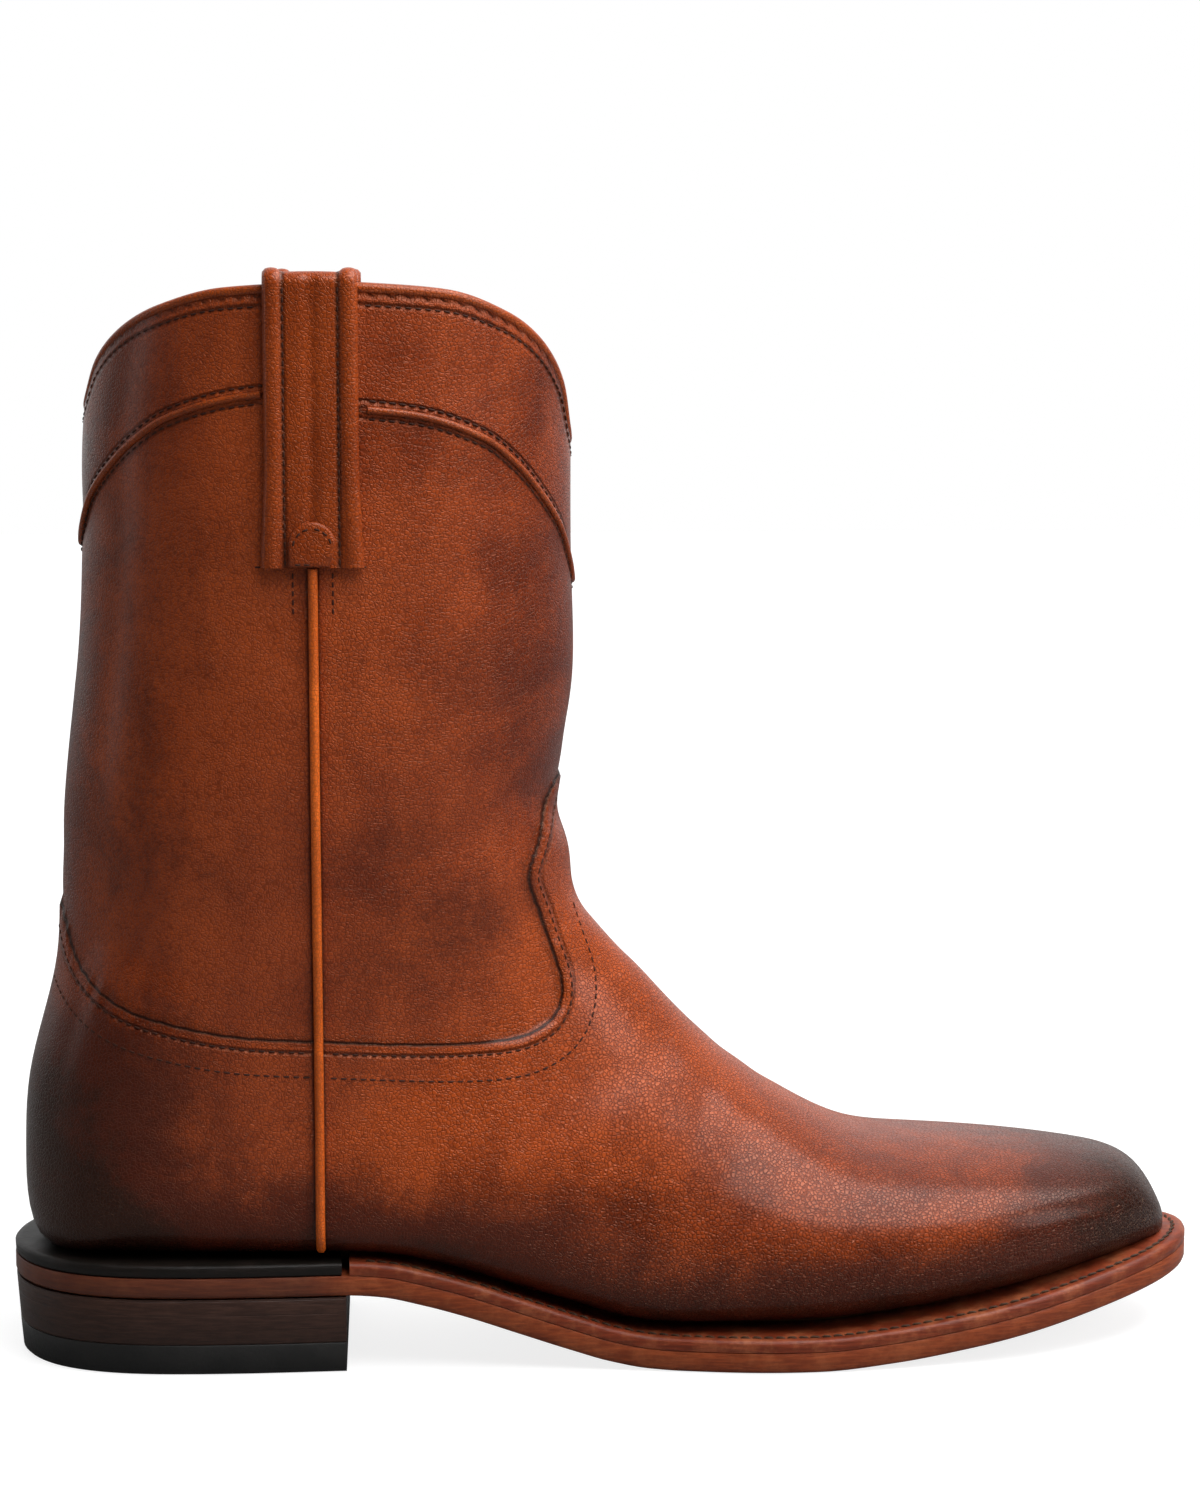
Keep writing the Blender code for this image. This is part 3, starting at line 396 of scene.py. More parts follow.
# Where the dark stain starts and where it is full: shares of LENGTH, or heights in metres
HEEL_DARK = (0.235, 0.03)
HEEL_DARK_RISE = (0.118, 0.060)
TOE_DARK = (0.76, 0.985)
TOE_STAIN = 0.93
FOOT_DARK = (0.030, 0.001)  # above the seat
FOOT_STAIN = 0.80
BACK_DARK = (0.21, 0.02)
BACK_DARK_RISE = (0.100, 0.15)
BACK_STAIN = 0.42
SHIN_DARK = (0.385, 0.455)
SHIN_DARK_RISE = (0.110, 0.16)
SHIN_STAIN = 0.34

# Darker smudges and brighter patches of the stain
# along: share of LENGTH, rise: share of ANKLE_RISE above the seat, wide and high in metres
SMUDGES = [
    # along, rise, wide, high, strength
    (0.345, 0.83, 0.012, 0.008, 0.20),
    (0.385, 0.66, 0.016, 0.011, 0.24),
    (0.355, 0.74, 0.030, 0.020, 0.12),
    (0.170, 0.78, 0.020, 0.030, 0.08),
    (0.400, 1.20, 0.022, 0.020, 0.12),
    (0.300, 1.46, 0.016, 0.024, 0.10),
    (0.395, 1.50, 0.020, 0.020, 0.10),
    (0.480, 0.10, 0.060, 0.016, 0.20),
]
BRIGHT_PATCHES = [
    # along, rise, wide, high, strength
    (0.215, 1.40, 0.016, 0.050, 0.75),
    (0.290, 1.22, 0.020, 0.040, 0.45),
    (0.300, 0.24, 0.050, 0.022, 0.75),
    (0.470, 0.42, 0.040, 0.030, 0.60),
    (0.370, 0.62, 0.050, 0.012, 0.35),
    (0.140, 1.05, 0.030, 0.060, 0.30),
    (0.570, 0.24, 0.040, 0.020, 0.25),
]

# Colours: bright, middle, dark and near black
TAN = ((0.42, 0.069, 0.0120), (0.190, 0.0240, 0.0044), (0.072, 0.0075, 0.0014), (0.018, 0.0026, 0.0010))
TRIM = ((0.38, 0.064, 0.0080), (0.220, 0.0320, 0.0040), (0.080, 0.0110, 0.0028), (0.022, 0.0040, 0.0016))
BRIGHT = ((0.92, 0.180, 0.0170), (0.50, 0.085, 0.0090), (0.220, 0.0320, 0.0050), (0.022, 0.0040, 0.0016))
STRAP_TAN = (
    (0.38, 0.060, 0.0070), (0.235, 0.0330, 0.0040), (0.090, 0.0120, 0.0028), (0.022, 0.0040, 0.0016))

# Colours of cut edges: plain, worn and dark
SOLE_BROWN = ((0.270, 0.052, 0.014), (0.44, 0.130, 0.045), (0.170, 0.031, 0.009))
WELT_BROWN = ((0.210, 0.034, 0.011), (0.46, 0.150, 0.060), (0.130, 0.021, 0.007))
RAND_BLACK = ((0.008, 0.005, 0.004), (0.030, 0.015, 0.010), (0.004, 0.003, 0.002))
STACK_BROWN = ((0.050, 0.023, 0.016), (0.080, 0.038, 0.026), (0.030, 0.014, 0.010))

# Colours of quiet surfaces: two that mingle
LINING_TAN = ((0.50, 0.31, 0.15), (0.62, 0.42, 0.23))
BOARD_TAN = ((0.36, 0.21, 0.10), (0.46, 0.29, 0.15))
THREAD_BROWN = ((0.035, 0.009, 0.004), (0.06, 0.016, 0.006))
WELT_THREAD_BROWN = ((0.035, 0.018, 0.012), (0.09, 0.045, 0.022))
RUBBER_BLACK = ((0.010, 0.010, 0.010), (0.020, 0.019, 0.018))

# Stain: how the rubbed tones mix, and how strongly marks darken them
# The crease, root, edge-shade, row, seam and groove marks are painted shade, in hollows and beside raised
# edges.
CLOUD_SHARE = 0.62          # the rest is streaks
TONE_SHARE = 0.75           # of the rubbed tone where the brighter patches are laid over it
FLECK_SPAN = (0.44, 0.70)
FLECK_STAIN = 0.22
CREASE_SHADE = 0.42
BURN_WOBBLE = 0.34          # how far clouds and flecks fray the dark stain's edge
BURN_MIDDLE = 0.62          # dark up to here, near black above
ROOT_SHADE = 0.75
OVERLAY_SHADE = 0.32
ROW_SHADE = 0.42
SEAM_SHADE = 0.8
GROOVE_SHADE = 0.75
JOINT_STAIN = 0.25
HEEL_FADE = (HEEL_BREAST - 0.012, HEEL_BREAST + 0.004)

# Relief and gloss; depths of marks are in heights of the grain
ROW_SINK = 1.6
CUT_SINK = 1.5
GROOVE_SINK = 2.0
JOINT_SINK = 0.4
SHAFT_GRAIN = 0.40          # height of the grain off the vamp, share of the vamp's
FIBRE_BUMP = 0.00016
DULL_SHARE = 0.10
WAX_SPECULAR = 0.34
WAX_TINT = (1.0, 0.60, 0.40, 1.0)
WAX_COAT = 0.20
WAX_COAT_ROUGH = 0.24
QUIET_SPECULAR = 0.25
PEBBLES = 1050.0
PEBBLED = (0.085, 0.125)    # over which the grain grows bolder, from the seam to the vamp

# Camera, light and floor
CAMERA_AT = (0.05795, -0.90934, 0.2770)
CAMERA_DIP = 7.58           # degrees below level
CAMERA_TURN = 3.3           # degrees towards the toe
CAMERA_LENS = 84.53
CAMERA_SENSOR = 36.0
WORLD_EDGE = (0.10, 0.75)   # between the dim studio in front and the white wall behind
WORLD_FRONT = 0.03
WORLD_BACK = 1.0
FLOOR_HALF = 3
FLOOR_DROP = 0.0002
FLOOR_GREY = 0.26
FLOOR_GLOW = 0.82
FLOOR_MIDDLE = (0.11, 0.0, 0.0)
FLOOR_FADE = (0.35, 0.90)   # from its middle, where the floor turns into the white behind it
LIGHTS = [
    # name, place, aimed at, size, watts
    ("top_light", (0.45, -0.22, 1.00), (0.12, -0.03, 0.06), (1.10, 0.70), 18.5),
    ("key_light", (1.30, -0.75, 0.80), (0.06, 0.0, 0.14), (0.5, 0.8), 8.5),
    ("left_light", (-1.20, -0.10, 0.50), (0.05, 0.0, 0.12), (0.25, 0.9), 1.6),
]


def monotone(xs, ys, x):
    """Smooth curve through a table that never overshoots it."""
    xs, ys, x = np.asarray(xs, float), np.asarray(ys, float), np.asarray(x, float)
    width = np.diff(xs)
    slope = np.diff(ys) / width
    lean = np.zeros(len(xs))
    for k in range(1, len(xs) - 1):
        if slope[k - 1] * slope[k] > 0:
            lean[k] = 2 / (1 / slope[k - 1] + 1 / slope[k])
    lean[0], lean[-1] = slope[0], slope[-1]
    k = np.clip(np.searchsorted(xs, x, side="right") - 1, 0, len(xs) - 2)
    t = (x - xs[k]) / width[k]
    t = np.clip(t, 0.0, 1.0)
    return ((2 * t**3 - 3 * t**2 + 1) * ys[k] + (t**3 - 2 * t**2 + t) * width[k] * lean[k]
            + (3 * t**2 - 2 * t**3) * ys[k + 1] + (t**3 - t**2) * width[k] * lean[k + 1])


class Spline:
    """Natural cubic curve through rows of values."""

    def __init__(self, knots, rows):
        self.knots = np.asarray(knots, float)
        self.rows = np.asarray(rows, float)
        count = len(self.knots)
        width = np.diff(self.knots)
        matrix = np.eye(count)
        bend = np.zeros_like(self.rows)
        for k in range(1, count - 1):
            matrix[k, k - 1] = width[k - 1]
            matrix[k, k] = 2 * (width[k - 1] + width[k])
            matrix[k, k + 1] = width[k]
            bend[k] = 6 * ((self.rows[k + 1] - self.rows[k]) / width[k]
                           - (self.rows[k] - self.rows[k - 1]) / width[k - 1])
        self.bend = np.linalg.solve(matrix, bend)

    def __call__(self, at):
        at = np.clip(np.atleast_1d(np.asarray(at, float)), self.knots[0], self.knots[-1])
        k = np.clip(np.searchsorted(self.knots, at, side="right") - 1, 0, len(self.knots) - 2)
        width = (self.knots[k + 1] - self.knots[k])[:, None]
        a = (self.knots[k + 1] - at)[:, None] / width
        b = 1 - a
        return (a * self.rows[k] + b * self.rows[k + 1]
                + ((a**3 - a) * self.bend[k] + (b**3 - b) * self.bend[k + 1]) * width**2 / 6)


def along(share):
    return HEEL_BACK + np.asarray(share) * LENGTH


def ground(x):
    """Height of the outsole's underside at x."""
    table = np.array(SOLE_LINE)
    height = table[:, 1] * OUTSOLE_REST + table[:, 2] * TOE_SPRING
    stations = along(table[:, 0])
    stations[1] = HEEL_BREAST
    return monotone(stations, height, x)


def layer(x, thickness):
    """Height of a surface that lies a given thickness above the sole's underside."""
    slope = (ground(np.asarray(x) + STEP) - ground(np.asarray(x) - STEP)) / (2 * STEP)
    return ground(x) + thickness * np.sqrt(1 + slope**2)


def welt_low(x):
    return layer(x, OUTSOLE + GAP)


def welt_top(x):
    return layer(x, OUTSOLE + GAP + WELT)


def seat(x):
    """Where the foot of the upper lies."""
    return layer(x, OUTSOLE + WELT + 2 * GAP)


def sole_edge():
    """The sole's edge as two smooth lines from the back to the toe, outer and inner."""
    rows = [(a, -o * HEEL_WIDTH, i * HEEL_WIDTH) for a, o, i in HEEL_EDGE]
    rows += [(a, -o * BALL_WIDTH, i * BALL_WIDTH) for a, o, i in FOREPART_EDGE]
    outer = [(along(a), o) for a, o, i in rows]
    inner = [(along(a), i) for a, o, i in rows]
    loop = np.array(outer + inner[-2:0:-1])
    closed = np.vstack([loop[-EDGE_WRAP:], loop, loop[:EDGE_WRAP + 1]])
    steps = np.linalg.norm(np.diff(closed, axis=0), axis=1)
    knots = np.concatenate([[0], np.cumsum(steps)])
    start, finish = knots[EDGE_WRAP], knots[EDGE_WRAP + len(loop)]
    return Spline(knots, closed)(np.linspace(start, finish, EDGE_POINTS, endpoint=False))


def edge_inwards(edge):
    """Directions square to the edge, towards the middle of the sole."""
    ahead = np.roll(edge, -1, axis=0) - np.roll(edge, 1, axis=0)
    ahead /= np.linalg.norm(ahead, axis=1)[:, None]
    return np.stack([-ahead[:, 1], ahead[:, 0]], axis=1)


EDGE = sole_edge()
INWARDS = edge_inwards(EDGE)


def inset_edge(distance):
    """The sole's edge moved inwards, as its outer side and its inner side from back to front."""
    points = EDGE + INWARDS * distance
    back, front = int(np.argmin(points[:, 0])), int(np.argmax(points[:, 0]))
    points = np.roll(points, -back, axis=0)
    front = (front - back) % len(points)
    outer = points[:front + 1]
    inner = np.vstack([points[front:], points[:1]])[::-1]
    return outer, inner


def edge_sides(x, distance):
    """Outer and inner y of the inset edge at x."""
    outer, inner = inset_edge(distance)
    return np.interp(x, outer[:, 0], outer[:, 1]), np.interp(x, inner[:, 0], inner[:, 1])


def edge_loop(distance, height, cut=None):
    """A closed loop of points on an inset edge, at the height that a function of x gives.

    All loops share their stations between the two ends, so layers follow each other closely.
    With cut, the loop ends there in a straight line across.
    """
    outer, inner = inset_edge(distance)
    start, finish = outer[0, 0], outer[-1, 0]
    curl = 1 - np.cos(math.pi / 2 * np.linspace(0, 1, END_STATIONS + 1))
    heel_end = float(along(0.0)) + END_ZONE
    toe_start = float(along(1.0)) - END_ZONE
    x = start + (heel_end - start) * curl[:-1]
    if cut is None:
        middle_x = np.linspace(heel_end, toe_start, EDGE_STATIONS)
        x = np.concatenate([x, middle_x, (finish - (finish - toe_start) * curl[:-1])[::-1]])
        last = len(x) - 1
    else:
        x = np.concatenate([x, np.linspace(heel_end, cut, HEEL_STATIONS)])
        last = len(x)
    low = np.interp(x, outer[:, 0], outer[:, 1])
    high = np.interp(x, inner[:, 0], inner[:, 1])
    back = [(x[0], (low[0] + high[0]) / 2)]
    front = [(x[-1], (low[-1] + high[-1]) / 2)]
    side_out = [(x[k], low[k]) for k in range(1, last)]
    side_in = [(x[k], high[k]) for k in range(last - 1, 0, -1)]
    flat = np.array(back + side_out + front + side_in)
    return np.column_stack([flat, height(flat[:, 0])])


def top_base(share):
    """Level that heights of the upper's ridge are counted from: the heel seat, then the seat below."""
    blend = np.clip((share - RIDGE_START) / (RIDGE_END - RIDGE_START), 0.0, 1.0)
    blend = blend * blend * (3 - 2 * blend)
    return seat(0.0) * (1 - blend) + seat(along(share)) * blend


def section_table():
    """All sections as rows of real sizes, from the rim to the toe."""
    rows = []
    ankle = float(seat(0.0)) + ANKLE_RISE
    for rise, front, back, outer, inner in SHAFT_SECTIONS:
        z = ankle + rise * (COLLAR_HEIGHT - ankle)
        rows.append((SEAM_X + front * SHAFT_DEPTH, z, SEAM_X + back * SHAFT_DEPTH, z,
                     outer * SHAFT_WIDTH, inner * SHAFT_WIDTH, 0.0, 0.5, 2.0, 2.0))
    for row in FOOT_SECTIONS:
        front, front_rise, back, back_rise, outer_in, inner_in, ridge, widest, low, top = row
        x_front, x_back = float(along(front)), float(along(back))
        x_wide = x_back + widest * (x_front - x_back)
        y_outer = edge_sides(x_wide, outer_in * UPPER_INSET)[0]
        y_inner = edge_sides(x_wide, inner_in * UPPER_INSET)[1]
        y_ridge = ridge * BALL_WIDTH
        rows.append((x_front, float(top_base(front)) + front_rise * ANKLE_RISE,
                     x_back, float(seat(x_back)) + back_rise * ANKLE_RISE,
                     y_ridge - y_outer, y_inner - y_ridge, y_ridge, widest, low, top))
    tip_x = float(along(1.0)) - UPPER_INSET - TIP_BACK
    tip_z = float(seat(tip_x)) + TIP_RISE
    ridge = FOOT_SECTIONS[-1][6] * BALL_WIDTH
    rows.append((tip_x, tip_z, tip_x, tip_z, 0.0, 0.0, ridge, 0.5, 2.6, 2.3))
    return np.array(rows)


def upper_spline():
    rows = section_table()
    middle = np.stack([(rows[:, 0] + rows[:, 2]) / 2, (rows[:, 1] + rows[:, 3]) / 2,
                       (rows[:, 4] + rows[:, 5]) / 2], axis=1)
    knots = np.concatenate([[0], np.cumsum(np.linalg.norm(np.diff(middle, axis=0), axis=1))])
    return Spline(knots, rows)


UPPER = upper_spline()
TOE_END = UPPER.knots[-1]
CORNER = UPPER.knots[len(SHAFT_SECTIONS) + HEEL_CORNER_ROW]
SHAFT_END = UPPER.knots[len(SHAFT_SECTIONS) - 1]


def skin(place, turn):
    """Points of the upper's outside.

    place runs from the rim to the toe; turn is an angle, 0 at the front or top, half a turn at the
    back or underneath, with the outer side on the negative half.
    """
    place, turn = np.broadcast_arrays(np.asarray(place, float), np.asarray(turn, float))
    shape = place.shape
    row = UPPER(place.ravel())
    turn = turn.ravel()
    fx, fz, bx, bz, outer, inner, ridge, widest, low, top = row.T
    floor = seat(bx)
    bz = np.where(place.ravel() > CORNER, floor, np.maximum(bz, floor))
    bz = np.where(fz < bz, fz, bz)
    ahead, across = np.cos(turn), np.sin(turn)
    power = 2 / np.where(ahead >= 0, top, low)
    u = np.sign(ahead) * np.abs(ahead) ** power
    v = np.abs(across) ** power
    share = widest + np.where(u >= 0, (1 - widest) * u, widest * u)
    y = ridge + np.where(across > 0, v * np.maximum(inner, 0), -v * np.maximum(outer, 0))
    points = np.stack([bx + share * (fx - bx), y, bz + share * (fz - bz)], axis=1)
    return points.reshape(*shape, 3)


def skin_normal(place, turn):
    """Outward normals of the upper's outside."""
    place, turn = np.broadcast_arrays(np.asarray(place, float), np.asarray(turn, float))
    down = np.minimum(place + STEP, TOE_END - STEP)
    forth = skin(down, turn) - skin(np.maximum(down - 2 * STEP, 0.0), turn)
    round_ = skin(place, turn + TURN_STEP) - skin(place, turn - TURN_STEP)
    normal = np.cross(forth, round_)
    length = np.linalg.norm(normal, axis=-1, keepdims=True)
    return normal / np.maximum(length, 1e-12)


def arch(table, turn, front, back):
    """A fall that runs round the shaft, read from a table of shares, for its front and its back half."""
    table = np.array(table)
    turn = np.abs((np.asarray(turn, float) + math.pi) % (2 * math.pi) - math.pi)
    ahead = turn < math.pi / 2
    share = np.where(ahead, turn, math.pi - turn) / (math.pi / 2)
    return monotone(table[:, 0], table[:, 1], share) * np.where(ahead, front, back)


def rim_height(turn):
    """The scalloped rim of the wall, under its binding."""
    return COLLAR_HEIGHT - BINDING - GAP - arch(COLLAR_SCALLOP, turn, FRONT_SCALLOP, BACK_SCALLOP)


def yoke_height(turn):
    return COLLAR_HEIGHT - arch(YOKE_ARCH, turn, FRONT_YOKE_FALL, BACK_YOKE_FALL)


def place_at(turn, height):
    """Where along the upper a line at this turn comes down to the height that its turn asks for."""
    turn = np.asarray(turn, float)
    target = height(turn)
    near, far = np.zeros_like(turn), np.full_like(turn, SHAFT_END)
    for _ in range(HALVINGS):
        middle = (near + far) / 2
        above = skin(middle, turn)[..., 2] > target
        near = np.where(above, middle, near)
        far = np.where(above, far, middle)
    return (near + far) / 2


def turns(count):
    return np.linspace(0, 2 * math.pi, count, endpoint=False)


def ring_places(start, shaft_rings, foot_rings):
    """Stations for every turn: down the shaft from its start, then on to the toe, closer at its end."""
    level = np.linspace(0, 1, shaft_rings, endpoint=False)[:, None]
    shaft = start + (SHAFT_END - start) * level
    share = np.linspace(0, 1, foot_rings)
    share = share * (1 - END_CROWDING) + np.sin(share * math.pi / 2) * END_CROWDING
    foot = np.tile(SHAFT_END + (TOE_END - SHAFT_END) * share[:, None], (1, len(start)))
    return np.vstack([shaft, foot])


def turns_grid(turn_count, shaft_rows, foot_rows):
    """Places and turns of a grid over the upper, from the rim to just short of the toe's tip."""
    angles = turns(turn_count)
    start = place_at(angles, rim_height)
    places = ring_places(start, shaft_rows, foot_rows)[:-1]
    return places, np.broadcast_to(angles, places.shape)


def overlay_curve():
    """Upper edge of the vamp and counter in the side view, as a fine line."""
    table = np.array(OVERLAY_EDGE)
    x = along(table[:, 0])
    z = float(seat(0.0)) + table[:, 1] * ANKLE_RISE
    steps = np.concatenate([[0], np.cumsum(np.hypot(np.diff(x), np.diff(z)))])
    return Spline(steps, np.column_stack([x, z]))(np.linspace(0, steps[-1], OVERLAY_FINE))


def below_curve(curve, x, z):
    """True where a side-view point lies on the vamp or the counter."""
    corner = np.array([[curve[-1, 0] + 1.0, curve[-1, 1]], [curve[-1, 0] + 1.0, -1.0], [curve[0, 0], -1.0]])
    loop = np.vstack([curve, corner])
    inside = np.zeros(x.shape, bool)
    for a, b in zip(loop, np.roll(loop, -1, axis=0)):
        crosses = (a[1] > z) != (b[1] > z)
        if crosses.any():
            reach = a[0] + (z - a[1]) / (b[1] - a[1] + 1e-12) * (b[0] - a[0])
            inside ^= crosses & (x < reach)
    return inside


def distance_to(curve, points):
    """Distance from each point to a fine line of points."""
    nearest = np.full(len(points), 1.0)
    for start in range(0, len(points), CHUNK):
        part = points[start:start + CHUNK]
        gap = np.linalg.norm(part[:, None, :] - curve[None, :, :], axis=2)
        nearest[start:start + CHUNK] = gap.min(axis=1)
    return nearest


def soft_step(value, low, high):
    share = np.clip((value - low) / (high - low), 0.0, 1.0)
    return share * share * (3 - 2 * share)


def crease_depth(points):
    """How far the listed troughs and ridges move the leather, inwards where negative."""
    depth = np.zeros(len(points))
    for along_share, rise, side, lean, length, width, height in CREASES:
        x = points[:, 0] - along(along_share)
        z = points[:, 2] - (float(seat(0.0)) + rise * ANKLE_RISE)
        forth = x * math.cos(math.radians(lean)) + z * math.sin(math.radians(lean))
        across = z * math.cos(math.radians(lean)) - x * math.sin(math.radians(lean))
        on_side = 1.0 if side == 0 else soft_step(side * points[:, 1], -0.004, 0.012)
        depth += height * np.exp(-(forth / length) ** 2 - (across / width) ** 2) * on_side
    return depth


def patches(points, table):
    """Soft round spots of the stain, laid over each other."""
    cover = np.zeros(len(points))
    for along_share, rise, wide, high, strength in table:
        u = (points[:, 0] - along(along_share)) / wide
        v = (points[:, 2] - (float(seat(0.0)) + rise * ANKLE_RISE)) / high
        cover = 1 - (1 - cover) * (1 - strength * np.exp(-u * u - v * v))
    return cover


def burnish(points):
    """Share of dark hand-rubbed stain over the upper."""
    x = (points[:, 0] - HEEL_BACK) / LENGTH
    z = points[:, 2]
    above = z - seat(points[:, 0])
    heel = soft_step(x, *HEEL_DARK) * soft_step(z, *HEEL_DARK_RISE)
    toe = soft_step(x, *TOE_DARK) * TOE_STAIN
    foot = soft_step(above, *FOOT_DARK) * FOOT_STAIN
    back = soft_step(x, *BACK_DARK) * soft_step(z, *BACK_DARK_RISE) * BACK_STAIN
    shin = soft_step(x, *SHIN_DARK) * soft_step(z, *SHIN_DARK_RISE) * SHIN_STAIN
    dark = 1 - (1 - heel) * (1 - toe) * (1 - foot) * (1 - back) * (1 - shin)
    return np.clip(1 - (1 - dark) * (1 - patches(points, SMUDGES)), 0.0, 1.0)


def plain_piece(name, points, faces, material, nodes=()):
    mesh = bpy.data.meshes.new(name)
    mesh.from_pydata(np.asarray(points, float).tolist(), [], faces)
    mesh.validate()
    mesh.materials.append(material)
    work = bmesh.new()
    work.from_mesh(mesh)
    bmesh.ops.recalc_face_normals(work, faces=work.faces)
    work.to_mesh(mesh)
    work.free()
    mesh.shade_smooth()
    mesh.set_sharp_from_angle(angle=math.radians(SHARP_ANGLE))
    made = bpy.data.objects.new(name, mesh)
    bpy.context.scene.collection.objects.link(made)
    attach(made, "root")
    if nodes:
        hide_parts(*nodes)
    return made


def keep_field(made, name, values):
    field = made.data.attributes.new(name, "FLOAT", "POINT")
    field.data.foreach_set("value", np.asarray(values, np.float32))


def grid_faces(rows, columns, first=0, flip=False):
    faces = []
    for r in range(rows - 1):
        upper, lower = first + r * columns, first + (r + 1) * columns
        for k in range(columns):
            after = (k + 1) % columns
            face = (upper + k, upper + after, lower + after, lower + k)
            faces.append(face[::-1] if flip else face)
    return faces


def capped_faces(rows, columns):
    """A grid of faces round a piece, closed at both ends."""
    last = (rows - 1) * columns
    faces = grid_faces(rows, columns)
    faces.append(tuple(range(columns)))
    faces.append(tuple(last + k for k in range(columns)))
    return faces


def make_shell(leather, lining):
    """The upper: outside with its overlays and creases, rim, and lining."""
    places, angles = turns_grid(SHELL_TURNS, *SHELL_ROWS)
    base = skin(places, angles).reshape(-1, 3)
    normal = skin_normal(places, angles).reshape(-1, 3)
    curve = overlay_curve()
    inside = below_curve(curve, base[:, 0], base[:, 2])
    gap = distance_to(curve, base[:, [0, 2]]) * np.where(inside, 1.0, -1.0)
    lift = OVERLAY * soft_step(gap, -EDGE_BEVEL, EDGE_BEVEL)
    seam = SEAM_DIP * np.exp(-((base[:, 0] - SEAM_X) / SEAM_SPREAD) ** 2)
    outside = base + normal * (lift - seam + crease_depth(base))[:, None]
    inner_places, inner_angles = turns_grid(SHELL_TURNS, *LINING_ROWS)
    inner = skin(inner_places, inner_angles) - WALL * skin_normal(inner_places, inner_angles)
    inner = inner.reshape(-1, 3)
    tip = skin(np.array([TOE_END]), np.array([0.0]))
    points = np.vstack([outside, inner, tip + [[OVERLAY, 0, 0]], tip - [[WALL, 0, 0]]])
    rows, inner_rows, count = len(places), len(inner_places), SHELL_TURNS
    faces = grid_faces(rows, count)
    inner_first = rows * count
    lining_start = len(faces)
    faces += grid_faces(inner_rows, count, inner_first, flip=True)
    outer_tip = inner_first + inner_rows * count
    for k in range(count):
        after = (k + 1) % count
        faces.append(((inner_rows - 1) * count + inner_first + after,
                      (inner_rows - 1) * count + inner_first + k, outer_tip + 1))
    lining_stop = len(faces)
    for k in range(count):
        after = (k + 1) % count
        faces.append((after, k, inner_first + k, inner_first + after))
        faces.append(((rows - 1) * count + k, (rows - 1) * count + after, outer_tip))
    made = plain_piece("boot_upper", points, faces, leather, ["upper"])
    made.data.materials.append(lining)
    index = np.zeros(len(faces), np.int32)
    index[lining_start:lining_stop] = 1
    made.data.polygons.foreach_set("material_index", index)
    rest = np.zeros(len(points) - len(base))
    rim = skin(place_at(turns(LINE_POINTS), rim_height), turns(LINE_POINTS))
    yoke = skin(place_at(turns(LINE_POINTS), yoke_height), turns(LINE_POINTS))
    keep_field(made, "overlay_gap", np.concatenate([gap, rest + 1]))
    keep_field(made, "rim_gap", np.concatenate([distance_to(rim, base), rest + 1]))
    keep_field(made, "yoke_gap", np.concatenate([distance_to(yoke, base), rest + 1]))
    keep_field(made, "burnish", np.concatenate([burnish(base), rest]))
    keep_field(made, "glow", np.concatenate([patches(base, BRIGHT_PATCHES), rest]))
    return made


def side_finder(made):
    """Looks from the side at a piece, for the point and the outward direction there."""
    tree = BVHTree.FromObject(made, bpy.context.evaluated_depsgraph_get())

    def look(x, z, side):
        spot, out, _, _ = tree.ray_cast(Vector((x, side * BALL_WIDTH, z)), Vector((0, -side, 0)))
        return (None, None) if spot is None else (np.array(spot), np.array(out))

    return look


def round_tube(name, centres, outwards, width, material, nodes, closed=False):
    """A cord sewn or rolled along centres, with flat caps at its ends unless it is closed."""
    centres, outwards = np.asarray(centres, float), np.asarray(outwards, float)
    if closed:
        ahead = np.roll(centres, -1, axis=0) - np.roll(centres, 1, axis=0)
    else:
        ahead = np.gradient(centres, axis=0)
    ahead /= np.linalg.norm(ahead, axis=1)[:, None]
    sideways = np.cross(ahead, outwards)
    sideways /= np.linalg.norm(sideways, axis=1)[:, None]
    out = np.cross(sideways, ahead)
    angle = np.linspace(0, 2 * math.pi, TUBE_SIDES, endpoint=False)
    rings = centres[:, None, :] + width / 2 * (np.cos(angle)[None, :, None] * out[:, None, :]
                                               + np.sin(angle)[None, :, None] * sideways[:, None, :])
    count = len(centres)
    if closed:
        faces = grid_faces(count, TUBE_SIDES)
        last = (count - 1) * TUBE_SIDES
        for k in range(TUBE_SIDES):
            after = (k + 1) % TUBE_SIDES
            faces.append((last + k, last + after, after, k))
    else:
        faces = capped_faces(count, TUBE_SIDES)
    return plain_piece(name, rings.reshape(-1, 3), faces, material, nodes)


def make_collar_roll(material):
    angle = turns(SHELL_TURNS)
    place = place_at(angle, rim_height)
    out = skin_normal(place, angle)
    centre = skin(place, angle) - out * WALL / 2
    ahead = np.roll(centre, -1, axis=0) - np.roll(centre, 1, axis=0)
    rise = np.cross(out, ahead)
    rise /= np.linalg.norm(rise, axis=1)[:, None] * np.sign(rise[:, 2:])
    centre += rise * (BINDING / 2 - ROLL_SINK)
    return round_tube("collar_roll", centre, out, BINDING + ROLL_EXTRA, material,
                      ["collar_binding"], closed=True)


def yoke_reach(middle):
    """Half the angle over which a yoke seam shows between the straps."""
    ahead = math.cos(middle)
    strap_edge = SEAM_X + ahead * (STRAP_WIDTH / 2 + YOKE_CLEAR)
    ends = np.array([0.0, math.pi])
    front, back = skin(place_at(ends, yoke_height), ends)[:, 0]
    return math.acos(ahead * (strap_edge - (front + back) / 2) / ((front - back) / 2))


